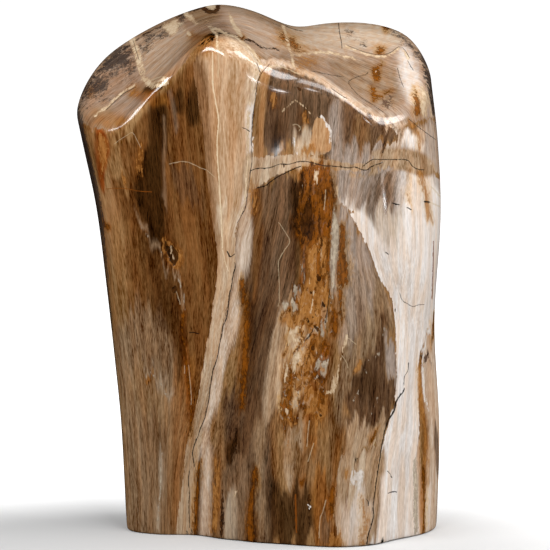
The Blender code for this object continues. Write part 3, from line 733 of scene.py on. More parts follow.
FRONT_HAIRLINES = hairlines("""
CRACK 0.61: 269.5,63.9 265.7,68 261.5,73.2 258,80.8 256.4,87.8 255.5,98.7 253.9,107 252.9,116.5
  252,129.3 251.3,140 252,159 250.5,172 248,190 245.7,207 241,216 237,223
CRACK 0.94: 234.4,262.5 235.3,268 233,275 231.7,285.7 229.5,294.6 228.6,305 227,317 226,319.6
  222.8,326.8 221.9,334.8 219.6,343.8 217.9,354.5 215,365 213,370 211.8,378 210,388 209,399 207,408
  204.6,418.6 201,426.6 198.4,434.6 194.8,443.6 193,449.8 192.6,455 193.5,460.5 194.4,466.8
CRACK 0.94: 227,251 228.6,253.6 230.4,257 234.8,254
CRACK 0.68: 189.5,470 188.6,481 189.5,495 189,505 189.6,528
CRACK 0.55: 256,62.3 258,65.5 259.3,70 261.2,73.2
CRACK 0.8: 250,171 257.7,168.3 269,167.9 280.6,164 288.3,164.4 292.8,163.3 299.7,161.4 308,161.8
  317.3,164 323.5,165.6 331,166 341.8,167 348.7,167.9 355.6,167 361,169.4 366.7,170 370.5,167
  376,164.8 382.8,162.5
CRACK 0.75: 363,166.4 366.7,163.3 372.8,159.5 379.7,159.5 391.2,159.5 403.5,159.5 408.8,161
  412.6,166.4 418.8,169.4 424,169.8
CRACK 1.02: 257,187.7 265,185.9 271,181.4 277.5,177 284.6,173.4 293.6,169 300.7,166.3
CRACK 0.5: 408.8,119 418,126.6 427.2,133.5 435.6,139.6
CRACK 0.66: 338.6,23.4 339.5,32.3 341.3,41.3 342,48.4
CRACK 0.44: 346,44.4 352,47.4 365.4,52.2 372.5,54 379.6,55 386.8,54 393,51.2 396.6,47.6 401,46.8
  405.6,51 409.6,58
CRACK 0.44: 310,70.7 319,72.5 332.3,75.2 344,77
CRACK 0.44: 368,71.6 367,74.3 360,76 352.9,78.8 348.4,83.2 356.4,93 363.6,99.3 372.5,104.6
  384,112.7
CRACK 0.5: 407.3,60 410,65 413.6,70.7
CRACK 0.5: 397.5,68 400,78 403.8,87.7
CRACK 0.5: 330.5,87.7 342,95.7 348.4,99.3
CRACK 0.44: 133,40 136,50 139.3,60.7
CRACK 0.55: 136.6,86.6 125,92.6 118.5,98 113,103.4 105.4,110.6
CRACK 0.55: 283.8,25 293,29 303.4,31.3
CALCITE 0.5: 113.8,144.5 119.6,140 129.5,133.8 133,133 137.5,141 141,148
CRACK 1.02: 189.3,332.6 194.6,332.6 199,334
IRON 0.6: 106,189 117,188.2 128.6,189 137.5,191 152,191.8
CRACK 0.68: 241.5,127.4 246,129 250.4,131.8
CALCITE 0.6: 278.4,221.6 284.6,231.4 290,241.3 284.6,250 280,258 278.4,262.7 279.3,285 279.3,300
  278,306.6
CRACK 1.1: 392,203 399.6,205
CRACK 1.1: 407,207.3 411.2,209.8
CRACK 1.7: 424.5,201.5 429.5,202.3
CALCITE 1.4: 429.5,202.3 434,204 439.4,206.5
CALCITE 1.4: 431,186.6 436,191.6 440,197.4
IRON 0.9: 433.6,240.5 433,270 432,300
CRACK 0.85: 385.5,252 388.8,254.6
CRACK 1.36: 404.6,387.8 403,392 398.8,397 395.5,403.6 394.7,409.4 392.2,414.4 388.8,419.4
CRACK 0.59: 408.7,362 408,370.4 404.6,376 403.8,385.4
CRACK 1.02: 388,420 384.8,430.8 383,439 381.4,447.4 379.8,459 377.3,474 375.6,486.3 374,498.8
  373,507 373.6,515.4 371.5,524.5 368.2,535.3 367,544.4
CRACK 0.77: 395.5,308 395,312.4
CRACK 0.51: 399.6,292.5 402,300 408,304 413,306.6 418,305 424.5,304.5
CRACK 0.94: 388,493.4 391.4,492 394,491.6 396.8,492
CRACK 0.59: 387.2,470.6 390,474 392.2,478
CRACK 0.77: 365.7,498.8 368.4,502 368.2,506
CRACK 0.85: 329.5,290 328.6,300 327,310.7 325.4,323
CRACK 0.85: 307.6,318 309.2,324
CRACK 0.85: 324,304 324.4,308
IRON 1.4: 295.5,493.8 296.4,532.8
CRACK 0.5: 212.8,80.5 213.6,84
CALCITE 0.6: 168.8,164 182,161.4 191,163.2 200,167.7 207,170.4 215,177.5
CALCITE 0.7: 176,291 179.5,301 180.4,305
CALCITE 0.7: 184.6,365 184.6,374
CALCITE 0.6: 188.6,365 191.3,394.5 191,405
QUARTZ 1.1: 212.6,52 212.8,80.8 214,93 216.6,107 218.6,120.4 217,143.5 218.6,175 221,212 222.6,249
CALCITE 0.9: 216.6,42 217.2,48.3 218.5,61 217.9,78.3
QUARTZ 0.7: 222.6,249 225,262 229,272
CALCITE 1: 149,81.3 155.4,78.6 160.7,76.8 167,77.7 166,83 158,83
CALCITE 0.9: 269.5,67.4 276.5,65.5 284.8,68 300,74.4
CALCITE 1: 292.8,125 296,124.3 300.5,127.3 299,131
CALCITE 0.9: 325.7,189.5 325,200 324,210
CALCITE 0.8: 347.4,337.3 356.5,344.7
CALCITE 0.8: 341.6,354.7 346.6,363 348.2,368.8
CALCITE 0.9: 326.2,499.6 322.9,511.2 320,519.5 319.2,538.6
CALCITE 0.8: 309.6,420 308,432 307,447.4
CALCITE 0.8: 313.8,443 311,452 308,461.5
CALCITE 1: 375.6,439 373,445.7
""")

FRONT_PITS = hollows("""
1.2 1.2: 166,241 169,247 172,245 175,249 178,254 177,262 174,266 170,261 167,254 165,247
0.5 1: 293.6,142 296,139 298.4,140.4 298,145 295,146
""")

# The wall unrolled, drawn in millimetres of girth from the front and of height

# painted shade and dark reflection where the left side turns away
# painted shade and dark reflection where the right side turns away, high up
WALL_GROUNDS = shapes(Tone, """
OAK 2: -330,-10 330,-10 330,420 -330,420
WARM_BROWN 14: -250,-10 -120,-10 -110,150 -120,300 -200,330 -240,200
GREY_OAK 12: -190,-10 -130,-10 -135,130 -160,260 -185,200
DEEP_BROWN 10 0.7: -176,120 -150,140 -146,240 -158,320 -176,300 -184,200
TAN 12: -230,-10 -206,-10 -200,200 -214,390 -236,390 -240,160
RUST 7 0.6: -222,40 -214,120 -216,240 -224,300 -230,200 -228,90
DEEP_BROWN 12 0.8: -186,110 -150,120 -110,200 -104,380 -150,400 -190,330
RIND 9 0.7: -176,130 -128,130 -110,300 -104,380 -150,400 -184,300
LAVENDER 10: 120,-10 200,-10 214,130 206,300 180,400 130,400 124,200
LAVENDER 9: 110,-20 186,-20 190,110 180,250 188,330 176,400 110,400
IVORY 9: 110,-20 172,-20 178,60 166,120 176,220 168,290 174,330 160,350 110,350
ROSE_CREAM 7 0.8: 158,-20 176,-20 172,90 166,60 160,40
OCHRE 8 0.7: 182,20 190,30 194,160 188,280 182,300 178,160
SMOKY 9 0.75: 200,60 216,90 214,220 204,330 194,250 196,140
RIND 8 0.7: 118,300 150,290 176,320 184,346 180,400 112,400
GREY_OAK 12: 240,-10 380,-10 384,200 372,400 250,400 236,200
CREAM 8: 300,-10 322,-10 318,120 330,260 326,400 300,400 296,220 302,90
WARM_BROWN 10 0.8: 262,40 284,60 286,220 274,340 258,260 256,120
SLATE 10 0.8: 340,60 366,80 368,220 352,330 338,240
""")

WALL_MINERALS = shapes(Mineral, """
CHARCOAL 7 0.9: 140,292 168,290 176,306 170,328 140,332
CHARCOAL 9 0.8: -330,366 -250,362 -180,356 -130,360 -120,400 -330,420
CHARCOAL 9 0.8: 330,366 250,366 180,358 130,352 110,400 330,420
RUST 7 0.9: -204,60 -198,90 -198,180 -204,220 -209,160 -208,100
RUST 8 0.9: 226,90 234,130 236,230 230,280 223,210 222,130
CREAM 2.5 x4 0.9: -244,-5 -246,90 -238,180 -240,280 -236,380
CREAM 2.5 x4 0.9: 212,-5 216,90 210,180 214,260 210,370
UMBER 2.5 x3 0.9: -262,60 -266,140 -262,220 -268,300
UMBER 2.5 x3 0.9: 290,60 292,150 286,230 290,310
SMOKY 6 0.9: -300,120 -284,150 -282,240 -292,290 -304,230
""")

WALL_HAIRLINES = hairlines("""
CRACK 0.94: -235,370 -238,300 -232,240 -237,170 -229,110 -233,50 -230,0
CRACK 0.85: -237,170 -210,176 -186,170 -168,177
CRACK 0.94: 320,372 317,300 322,230 316,150 321,90 318,0
CRACK 0.85: 322,230 300,236 276,232 250,238
CRACK 0.85: 206,360 210,290 204,220 209,150 206,80
CALCITE 1.2: 150,350 148,260 152,180 147,90 150,10
""")

# flow of the grain down the front: where each guide runs, and where it lies when straight
FLOW = (
    (40.0, "10,0 20,110 30,200 45,300 55,400 60,560"),
    (112.0, "76,0 78,110 84,143 92,182 100,223 108,285 113,336 120,385 123,426 128,495 129,560"),
    (152.0, "136,0 140,110 143,150 147,190 150,230 152,280 154,330 157,380 159,430 160,560"),
    (202.0, "196,0 197,60 200,110 205,160 212,210 217,260 213,310 208,360 200,400 190,440 "
     "184,480 181,560"),
    (230.0, "264,0 262,70 254,110 252,160 248,200 236,240 232,290 222,330 214,370 207,410 "
     "196,450 193,480 192,560"),
    (280.0, "304,0 300,110 298,160 292,220 280,280 268,330 260,380 254,430 250,480 248,560"),
    (330.0, "348,0 345,90 342,160 336,220 333,280 331,330 325,380 322,430 320,480 318,560"),
    (380.0, "396,0 394,130 386,170 374,210 376,250 387,290 392,330 391,380 390,420 378,460 "
     "373,500 369,560"),
    (434.0, "424,0 430,83 436,126 440,190 440,250 435,310 437,373 439,440 438,495 437,560"),
    (520.0, "500,0 505,280 510,560"),
)
FLOW_STEP = 4.0
FLOW_ROWS = np.arange(-40.0, 600.0, FLOW_STEP)

# the last of the pale zones is the crown's end grain
CROWN_ZONE = FRONT_PALE[-1]

# rows of the picture between which outlines come to end in fibres, and how far they do above
CROWN_ROWS = (105.0, 160.0)
CROWN_FIBRES = 0.12


# How drawings are read


def rounded(corners: np.ndarray, closed: bool, cuts: int = 3) -> np.ndarray:
    """Rounds a path through its points.

    Args:
        corners: The drawn points.
        closed: Whether the last point joins the first.
        cuts: How many pieces each stretch is cut into.

    Returns:
        The points of the rounded path, its first repeated at the end where it is closed.
    """
    if closed:
        padded = np.vstack([corners[-1:], corners, corners[:2]])
    else:
        padded = np.vstack([2 * corners[0] - corners[1], corners, 2 * corners[-1] - corners[-2]])
    t = (np.arange(cuts) / cuts)[:, None]
    stretches = []
    for a, b, c, d in zip(padded[:-3], padded[1:-2], padded[2:-1], padded[3:]):
        stretches.append(0.5 * (2 * b + (c - a) * t + (2 * a - 5 * b + 4 * c - d) * t ** 2
                                + (3 * b - a - 3 * c + d) * t ** 3))
    end = corners[:1] if closed else corners[-1:]
    return np.vstack([*stretches, end])


@dataclass
class Nearest:
    """How points lie to a path: how far, on which side, and how far past its ends."""

    distance: np.ndarray
    side: np.ndarray
    past_end: np.ndarray


def nearest(path: np.ndarray, at: np.ndarray) -> Nearest:
    """Finds how far points are from a path, and on which side.

    Args:
        path: The path's points.
        at: The points asked about.

    Returns:
        The distance, the side as -1 or 1, and how far past the path's ends each lies.
    """
    best = np.full(len(at), np.inf)
    side = np.ones(len(at))
    past = np.zeros(len(at))
    last = len(path) - 2
    for i, (a, b) in enumerate(zip(path[:-1], path[1:])):
        run = b - a
        # a point that is drawn twice has no run
        length = max(float(np.hypot(*run)), 1e-6)
        run = run / length
        away = at - a
        along = away @ run
        across = away[:, 0] * run[1] - away[:, 1] * run[0]
        beside = np.clip(along, 0.0, length)
        square = (along - beside) ** 2 + across ** 2
        closer = square < best
        best[closer] = square[closer]
        side[closer] = np.where(across[closer] < 0, -1.0, 1.0)
        over = np.zeros(len(at))
        if i == 0:
            over = np.maximum(over, -along)
        if i == last:
            over = np.maximum(over, along - length)
        past[closer] = over[closer]
    return Nearest(np.sqrt(best), side, np.maximum(past, 0.0))


def inside(path: np.ndarray, at: np.ndarray) -> np.ndarray:
    """Tells which points lie inside a closed path.

    Args:
        path: The path's points, its first repeated at the end.
        at: The points asked about.

    Returns:
        True for each point that lies inside.
    """
    within = np.zeros(len(at), bool)
    for (ax, ay), (bx, by) in zip(path[:-1], path[1:]):
        if ay == by:
            continue
        spans = (at[:, 1] > ay) != (at[:, 1] > by)
        cut = ax + (at[:, 1] - ay) * (bx - ax) / (by - ay)
        within ^= spans & (at[:, 0] < cut)
    return within


@dataclass(frozen=True)
class Sheet:
    """A flat drawing laid on the stone: where each point of the net falls on it.

    Fields: the two coordinates, millimetres in one drawing unit, and the girth after which the
    first coordinate comes round again, or 0.
    """

    at: np.ndarray
    unit: float
    girth: float = 0.0

    def near(self, path: np.ndarray, reach: float) -> tuple[np.ndarray, np.ndarray]:
        """Finds the net's points within reach of a path.

        Args:
            path: The path's points.
            reach: How far round the path's box to look.

        Returns:
            The points' indices, and their coordinates as the path sees them.
        """
        at = self.at
        if self.girth:
            middle = (path[:, 0].min() + path[:, 0].max()) / 2
            at = at.copy()
            at[:, 0] += self.girth * np.round((middle - at[:, 0]) / self.girth)
        low = path.min(axis=0) - reach
        high = path.max(axis=0) + reach
        found = np.nonzero(((at >= low) & (at <= high)).all(axis=1))[0]
        return found, at[found]

    def level(self, shape: Area | Band | Pit) -> tuple[np.ndarray, np.ndarray]:
        """Works out a shape's level: 1 well inside, 0.5 on its edge, falling below 0 outside.

        Args:
            shape: The drawn shape.

        Returns:
            The indices of the points near it, and their levels.
        """
        # the level falls by one over twice the softness
        reach = 2 * (EDGE_LEVEL - LEVEL_FLOOR) * shape.soft
        if isinstance(shape, Band):
            path = rounded(shape.points, False)
            found, at = self.near(path, reach + shape.width)
            depth = shape.width / 2 - nearest(path, at).distance
        else:
            path = rounded(shape.points, True)
            found, at = self.near(path, reach)
            distance = nearest(path, at).distance
            depth = np.where(inside(path, at), distance, -distance)
        return found, EDGE_LEVEL + depth / (2 * shape.soft)


@dataclass(frozen=True)
class Streaks:
    """How drawn outlines slide along and across the grain, so that they end in fibres.

    Fields, in drawing units: for each of three noises its width across the grain, its length
    along it and the plane that it reads, then how far the noises run along the grain, the most
    that they may, and how far they sway across it.
    """

    long: tuple[float, float, float] = (4.2, 90.0, 0.5)
    short: tuple[float, float, float] = (2.2, 34.0, 5.5)
    sway: tuple[float, float, float] = (11.0, 45.0, 9.5)
    long_run: float = 25.0
    short_run: float = 10.0
    most_run: float = 18.0
    broad_sway: float = 3.0
    short_sway: float = 1.6

    def slid(self, at: np.ndarray, across: np.ndarray, share: np.ndarray) -> np.ndarray:
        """Slides points along and across the grain.

        Args:
            at: Points on a drawing.
            across: Each point's place across the grain, which the streaks follow.
            share: How far each point takes part, from 0 to 1.

        Returns:
            The points where the drawing is read.
        """
        slides = np.empty_like(at)
        for i, (x, y) in enumerate(zip(across, at[:, 1])):
            long, short, sway = (noise.noise(Vector((x / width, y / length, plane)))
                                 for width, length, plane in (self.long, self.short, self.sway))
            run = self.long_run * long + self.short_run * short
            slides[i] = (self.broad_sway * sway + self.short_sway * short,
                         max(-self.most_run, min(self.most_run, run)))
        return at + slides * share[:, None]


@dataclass
class Markings:
    """The drawing of one sheet, worked out at the net's points.

    Fields: the sheet, each point's place across the grain, how far outlines end in fibres
    there, and how many levels a pale zone's colour runs over its outline.
    """

    sheet: Sheet
    across: np.ndarray
    share: np.ndarray
    spill: float = 1.5

    def __post_init__(self) -> None:
        """Starts with no ground, no mineral and no hairline."""
        fibres = Streaks().slid(self.sheet.at, self.across, self.share)
        self.fibrous = replace(self.sheet, at=fibres)
        self.half_fibrous = replace(self.sheet, at=(self.sheet.at + fibres) / 2)
        count = len(self.sheet.at)
        self.colours = {(layer, shade): np.zeros((count, 3))
                        for layer in Layer for shade in SHADES}
        self.pale = np.full(count, LEVEL_FLOOR)
        self.levels = {mineral: np.full(count, LEVEL_FLOOR) for mineral in Mineral}
        self.hairlines: dict[Channel, np.ndarray] = {}
        self.pits = np.zeros(count)
        self.edges = np.full(count, FAR)

    def paint(self, shapes: tuple[Area | Band, ...], layer: Layer, spill: float = 0.0,
              frayed: bool = True) -> None:
        """Lays grounds on one another, softly.

        Args:
            shapes: The grounds, from the lowest up.
            layer: The layer that they are in.
            spill: How many levels the colour runs over each outline.
            frayed: Whether outlines end in fibres.
        """
        for shape in shapes:
            found, level = (self.fibrous if frayed else self.sheet).level(shape)
            cover = (smoothstep(0.0, 1.0, level + spill) * shape.strength)[:, None]
            for shade, code in zip(SHADES, shape.kind.value):
                held = self.colours[layer, shade]
                held[found] += (np.array(linear(code)) - held[found]) * cover

    def lay_pale_zones(self, zones: tuple[Area, ...], frayed: bool = True) -> None:
        """Lays pale zones: their colour spills over, and their level sets the edge.

        Args:
            zones: The zones, from the lowest up.
            frayed: Whether outlines end in fibres.
        """
        self.paint(zones, Layer.PALE, self.spill, frayed)
        for zone in zones:
            self._raise(self.pale, zone, frayed, 0.0)

    def lay_minerals(self, shapes: tuple[Area | Band, ...], frayed: bool = True) -> None:
        """Keeps the highest level of each mineral.

        Args:
            shapes: The minerals, in any order.
            frayed: Whether outlines end in fibres.
        """
        for shape in shapes:
            lift = (shape.strength - 1.0) * STRENGTH_LIFT
            self._raise(self.levels[shape.kind], shape, frayed, lift)

    def draw_hairlines(self, lines: tuple[Hairline, ...]) -> None:
        """Keeps each point's way to its nearest hairline and that one's width, by channel.

        Args:
            lines: The hairlines.
        """
        placed: dict[Channel, list[np.ndarray]] = {}
        unit = self.sheet.unit
        for line in lines:
            path = rounded(line.points, False)
            channel = self._free_channel(line.fill, path, placed)
            placed.setdefault(channel, []).append(path)
            held = self.hairlines.setdefault(channel, self.without_hairline())
            found, at = self.sheet.near(path, HAIRLINE_REACH * 2)
            lie = nearest(path, at)
            width = line.width / 2 - np.maximum(lie.distance - HAIRLINE_REACH, 0) - lie.past_end
            newer = lie.distance * unit < np.abs(held[found, 0])
            held[found[newer], 0] = (lie.distance * lie.side * unit)[newer]
            held[found[newer], 1] = (width * unit)[newer]
            self._note_edge(found, lie.distance)

    def sink_pits(self, pits: tuple[Pit, ...]) -> None:
        """Notes how deep each point sinks.

        Args:
            pits: The pits.
        """
        for pit in pits:
            found, level = self.sheet.level(pit)
            depth = smoothstep(0.0, 1.0, level) * pit.depth
            self.pits[found] = np.maximum(self.pits[found], depth)

    def without_hairline(self) -> np.ndarray:
        """Gives what points far from every hairline hold."""
        return np.tile(NO_HAIRLINE, (len(self.sheet.at), 1))

    def _raise(self, held: np.ndarray, shape: Area | Band, frayed: bool, lift: float) -> None:
        """Raises held levels to a shape's, and notes how near its edge is.

        Args:
            held: The levels so far, which are changed.
            shape: The shape.
            frayed: Whether its outline ends in fibres.
            lift: What is added to its level.
        """
        found, level = (self.half_fibrous if frayed else self.sheet).level(shape)
        level = np.clip(level, LEVEL_FLOOR, LEVEL_TOP) + lift
        held[found] = np.maximum(held[found], level)
        self._note_edge(found, np.abs(level - EDGE_LEVEL) * 2 * shape.soft)

    def _note_edge(self, found: np.ndarray, distance: np.ndarray) -> None:
        """Keeps the distance to the nearest drawn edge."""
        self.edges[found] = np.minimum(self.edges[found], distance)

    def _free_channel(self, fill: Fill, path: np.ndarray,
                      placed: dict[Channel, list[np.ndarray]]) -> Channel:
        """Finds a channel for a hairline.

        Args:
            fill: What fills it.
            path: Its path.
            placed: The paths that each channel has so far.

        Returns:
            The fill's first channel with no other path near, or else its last one.
        """
        for number in range(HAIRLINE_CHANNELS):
            channel = Channel(fill, number)
            others = placed.get(channel, [])
            gap = min((nearest(other, path).distance.min() for other in others), default=FAR)
            if gap > 2 * HAIRLINE_REACH:
                return channel
        return Channel(fill, HAIRLINE_CHANNELS - 1)


def straightened(at: np.ndarray) -> np.ndarray:
    """Works out where the grain at picture points would lie if it ran straight down.

    Args:
        at: Points in the picture.

    Returns:
        Pixels across the straightened grain.
    """
    guides = [parse(text) for _, text in FLOW]
    homes = np.array([home for home, _ in FLOW])
    table = np.array([np.interp(FLOW_ROWS, guide[:, 1], guide[:, 0]) for guide in guides])
    # the last row has none after it to read towards
    row = np.clip((at[:, 1] - FLOW_ROWS[0]) / FLOW_STEP, 0, len(FLOW_ROWS) - 1.001)
    low = row.astype(int)
    part = row - low
    here = table[:, low] * (1 - part) + table[:, low + 1] * part
    result = np.full(len(at), homes[0])
    last = len(FLOW) - 2
    for i, (left, right) in enumerate(zip(here[:-1], here[1:])):
        t = (at[:, 0] - left) / (right - left)
        held = (t >= 0) & ((t < 1) | (i == last))
        result[held] = (homes[i] + (homes[i + 1] - homes[i]) * t)[held]
    return result


# The camera, the net and the stone


@dataclass(frozen=True)
class StudioCamera:
    """The camera, and where points fall in its picture.

    Fields: how far it stands above the level and from its target, the target, its focal length
    in pixels of the picture, the width of its sensor in millimetres, and how far it sees.
    """

    elevation: float = math.radians(8.0)
    distance: float = 3.0
    target: tuple[float, float, float] = (0.0118, 0.0, 0.18938)
    focal_px: float = 4082.0
    sensor_width: float = 36.0
    clip_end: float = 50.0

    @property
    def back(self) -> np.ndarray:
        """The way from the target to the camera."""
        return np.array([0.0, -math.cos(self.elevation), math.sin(self.elevation)])

    def project(self, points: np.ndarray) -> np.ndarray:
        """Works out where points fall in the picture.

        Args:
            points: Points in metres.

        Returns:
            Pixels from the picture's left and from its top.
        """
        seen = points - (np.array(self.target) + self.distance * self.back)
        up = np.array([0.0, math.sin(self.elevation), math.cos(self.elevation)])
        depth = -seen @ self.back
        return np.stack([PICTURE_PX / 2 + self.focal_px * seen[:, 0] / depth,
                         PICTURE_PX / 2 - self.focal_px * (seen @ up) / depth], axis=1)

    def place(self) -> None:
        """Creates the camera and makes it the scene's."""
        data = bpy.data.cameras.new("studio_camera")
        data.sensor_width = self.sensor_width
        data.lens = self.focal_px / PICTURE_PX * data.sensor_width
        data.clip_end = self.clip_end
        camera = bpy.data.objects.new("studio_camera", data)
        bpy.context.scene.collection.objects.link(camera)
        camera.location = Vector(self.target) + self.distance * Vector(self.back)
        camera.rotation_mode = "QUATERNION"
        camera.rotation_quaternion = (-Vector(self.back)).to_track_quat("-Z", "Y")
        bpy.context.scene.camera = camera


@dataclass
class StoneNet:
    """The stone's surface as one closed net of quads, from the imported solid.

    Fields: the camera, how close points are merged, how high and how level the base's faces
    lie, by how much each ring of the base shrinks, how often the net is halved, how steep an
    upright edge is and how long one that is halved, how strongly quads follow one another, and
    where points turn from the wall's drawing to the front's, by how far they face the camera.
    """

    camera: StudioCamera
    merge: float = 0.01 * MM
    base_height: float = 0.5 * MM
    base_level: float = -0.999
    base_rings: tuple[float, ...] = (0.97, 0.8, 0.7, 0.55, 0.4)
    halvings: int = 2
    steep: float = 0.7
    long: float = 1.9 * MM
    quad_order: float = 1.8
    turning: tuple[float, float] = (-0.02, 0.07)

    def __post_init__(self) -> None:
        """Builds the net."""
        self.piece = self._copied_solid()
        self._rebuild_base()
        self._refine()

    def _copied_solid(self) -> bpy.types.Object:
        """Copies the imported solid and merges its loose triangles.

        Returns:
            The copy.
        """
        bpy.ops.object.select_all(action="DESELECT")
        node = bpy.data.objects[NODE_NAME]
        node.select_set(True)
        bpy.context.view_layer.objects.active = node
        bpy.ops.object.duplicate()
        piece = bpy.context.view_layer.objects.active
        bpy.ops.object.parent_clear(type="CLEAR_KEEP_TRANSFORM")
        bpy.ops.object.transform_apply(location=True, rotation=True, scale=True)
        for key in list(piece.keys()):
            del piece[key]
        piece.name = PIECE_NAME
        piece.data.name = PIECE_NAME
        piece.data.materials.clear()
        bpy.ops.object.mode_set(mode="EDIT")
        bpy.ops.mesh.select_all(action="SELECT")
        bpy.ops.mesh.remove_doubles(threshold=self.merge)
        bpy.ops.object.mode_set(mode="OBJECT")
        return piece

    def _rebuild_base(self) -> None:
        """Turns triangles to quads, and fills the base with rings that shrink to its middle."""
        bpy.ops.object.mode_set(mode="EDIT")
        bpy.ops.mesh.select_all(action="DESELECT")
        bpy.ops.object.mode_set(mode="OBJECT")
        for face in self.piece.data.polygons:
            face.select = face.normal.z < self.base_level and face.center.z < self.base_height
        bpy.ops.object.mode_set(mode="EDIT")
        bpy.ops.mesh.select_mode(type="FACE")
        bpy.ops.mesh.delete(type="FACE")
        bpy.ops.mesh.select_all(action="SELECT")
        bpy.ops.mesh.tris_convert_to_quads(face_threshold=math.pi, shape_threshold=math.pi,
                                           topology_influence=self.quad_order)
        bpy.ops.mesh.select_mode(type="EDGE")
        bpy.ops.mesh.select_all(action="DESELECT")
        bpy.ops.mesh.select_non_manifold(extend=False, use_wire=False, use_multi_face=False,
                                         use_non_contiguous=False, use_verts=False)
        for shrink in self.base_rings:
            bpy.ops.mesh.extrude_edges_move()
            bpy.ops.transform.resize(value=(shrink, shrink, 1.0), center_override=(0, 0, 0))
        bpy.ops.mesh.extrude_edges_move()
        bpy.ops.mesh.merge(type="CENTER")
        bpy.ops.mesh.select_all(action="SELECT")
        bpy.ops.mesh.normals_make_consistent(inside=False)
        bpy.ops.object.mode_set(mode="OBJECT")

    def _refine(self) -> None:
        """Rounds the net and halves it a few times each way."""
        modifier = self.piece.modifiers.new("closer_net", "SUBSURF")
        modifier.levels = self.halvings
        modifier.render_levels = self.halvings
        modifier.boundary_smooth = "PRESERVE_CORNERS"
        bpy.ops.object.modifier_apply(modifier=modifier.name)

    def _read(self, name: str) -> np.ndarray:
        """Reads a vector that every vertex has.

        Args:
            name: The vector's name.

        Returns:
            One row a vertex.
        """
        vertices = self.piece.data.vertices
        flat = np.empty(len(vertices) * 3)
        vertices.foreach_get(name, flat)
        return flat.reshape(-1, 3)

    def points(self) -> np.ndarray:
        """Gives the net's points, in metres."""
        return self._read("co")

    def normals(self) -> np.ndarray:
        """Gives the net's outward directions."""
        return self._read("normal")

    def front_sheet(self) -> Sheet:
        """Gives the picture's plane, seen through the camera."""
        scale = self.camera.distance / self.camera.focal_px / MM
        return Sheet(self.camera.project(self.points()), scale)

    def wall_sheet(self) -> Sheet:
        """Unrolls the wall.

        Returns:
            Its sheet, in millimetres of girth and of height.
        """
        at = self.points() / MM
        bearing = np.arctan2(at[:, 0], -at[:, 1])
        return Sheet(np.stack([bearing * GIRTH / math.tau, at[:, 2]], axis=1), 1.0, GIRTH)

    def facing(self) -> np.ndarray:
        """Tells how far each point belongs to the front drawing, from 0 to 1."""
        return smoothstep(*self.turning, self.normals() @ self.camera.back)

    def split_near(self, distance: np.ndarray, limit: float, most: int) -> int:
        """Halves the upright edges of faces that lie near drawn edges.

        Args:
            distance: Each point's distance to the nearest drawn edge.
            limit: Edges with a point closer than this are split.
            most: The most edges to split.

        Returns:
            How many edges were split.
        """
        mesh = self.piece.data
        count = len(mesh.edges)
        ends = np.empty(count * 2, int)
        mesh.edges.foreach_get("vertices", ends)
        ends = ends.reshape(-1, 2)
        points = self.points()
        run = points[ends[:, 1]] - points[ends[:, 0]]
        length = np.linalg.norm(run, axis=1)
        upright = (np.abs(run[:, 2]) > self.steep * length) & (length > self.long)
        near = distance[ends].min(axis=1)
        chosen = upright & (near < limit)
        order = np.argsort(np.where(chosen, near, np.inf), kind="stable")[:most]
        picked = np.zeros(count, bool)
        picked[order] = chosen[order]
        bpy.ops.object.mode_set(mode="EDIT")
        bpy.ops.mesh.select_mode(type="EDGE")
        bpy.ops.mesh.select_all(action="DESELECT")
        bpy.ops.object.mode_set(mode="OBJECT")
        mesh.edges.foreach_set("select", picked)
        bpy.ops.object.mode_set(mode="EDIT")
        bpy.ops.mesh.subdivide(number_cuts=1, smoothness=0.0)
        bpy.ops.object.mode_set(mode="OBJECT")
        return int(picked.sum())

    def store(self, name: str, values: np.ndarray) -> None:
        """Keeps values at the net's points: numbers, vectors or colours, by how wide they are.

        Args:
            name: The attribute's name.
            values: One row a point.
        """
        width = 1 if values.ndim == 1 else values.shape[1]
        kind, field = {1: ("FLOAT", "value"), 3: ("FLOAT_VECTOR", "vector"),
                       4: ("FLOAT_COLOR", "color")}[width]
        layer = self.piece.data.attributes.new(name, kind, "POINT")
        layer.data.foreach_set(field, np.ascontiguousarray(values, dtype=np.float32).ravel())

    def sink(self, depth: np.ndarray) -> None:
        """Sinks points along their normals.

        Args:
            depth: Each point's depth in millimetres.
        """
        moved = self.points() - self.normals() * depth[:, None] * MM
        self.piece.data.vertices.foreach_set("co", moved.ravel())
        self.piece.data.update()


def front_markings(net: StoneNet) -> Markings:
    """Works out the front drawing at the net's points.

    Args:
        net: The stone's net.

    Returns:
        The markings in the picture's plane.
    """
    sheet = net.front_sheet()
    share = CROWN_FIBRES + (1 - CROWN_FIBRES) * smoothstep(*CROWN_ROWS, sheet.at[:, 1])
    front = Markings(sheet, straightened(sheet.at), share)
    front.paint(FRONT_GROUNDS, Layer.GROUND)
    front.lay_pale_zones(FRONT_PALE)
    front.paint(PALE_DETAILS, Layer.PALE)
    front.lay_pale_zones(SMOOTH_PALE, frayed=False)
    front.lay_minerals(FRONT_MINERALS)
    front.lay_minerals(FRONT_SPOTS, frayed=False)
    front.draw_hairlines(FRONT_HAIRLINES)
    front.sink_pits(FRONT_PITS)
    return front


def wall_markings(net: StoneNet) -> Markings:
    """Works out the wall drawing at the net's points.

    Args:
        net: The stone's net.

    Returns:
        The markings on the unrolled wall.
    """
    sheet = net.wall_sheet()
    wall = Markings(sheet, sheet.at[:, 0], np.ones(len(sheet.at)))
    for layer in Layer:
        wall.paint(WALL_GROUNDS, layer)
    wall.lay_minerals(WALL_MINERALS)
    wall.draw_hairlines(WALL_HAIRLINES)
    return wall


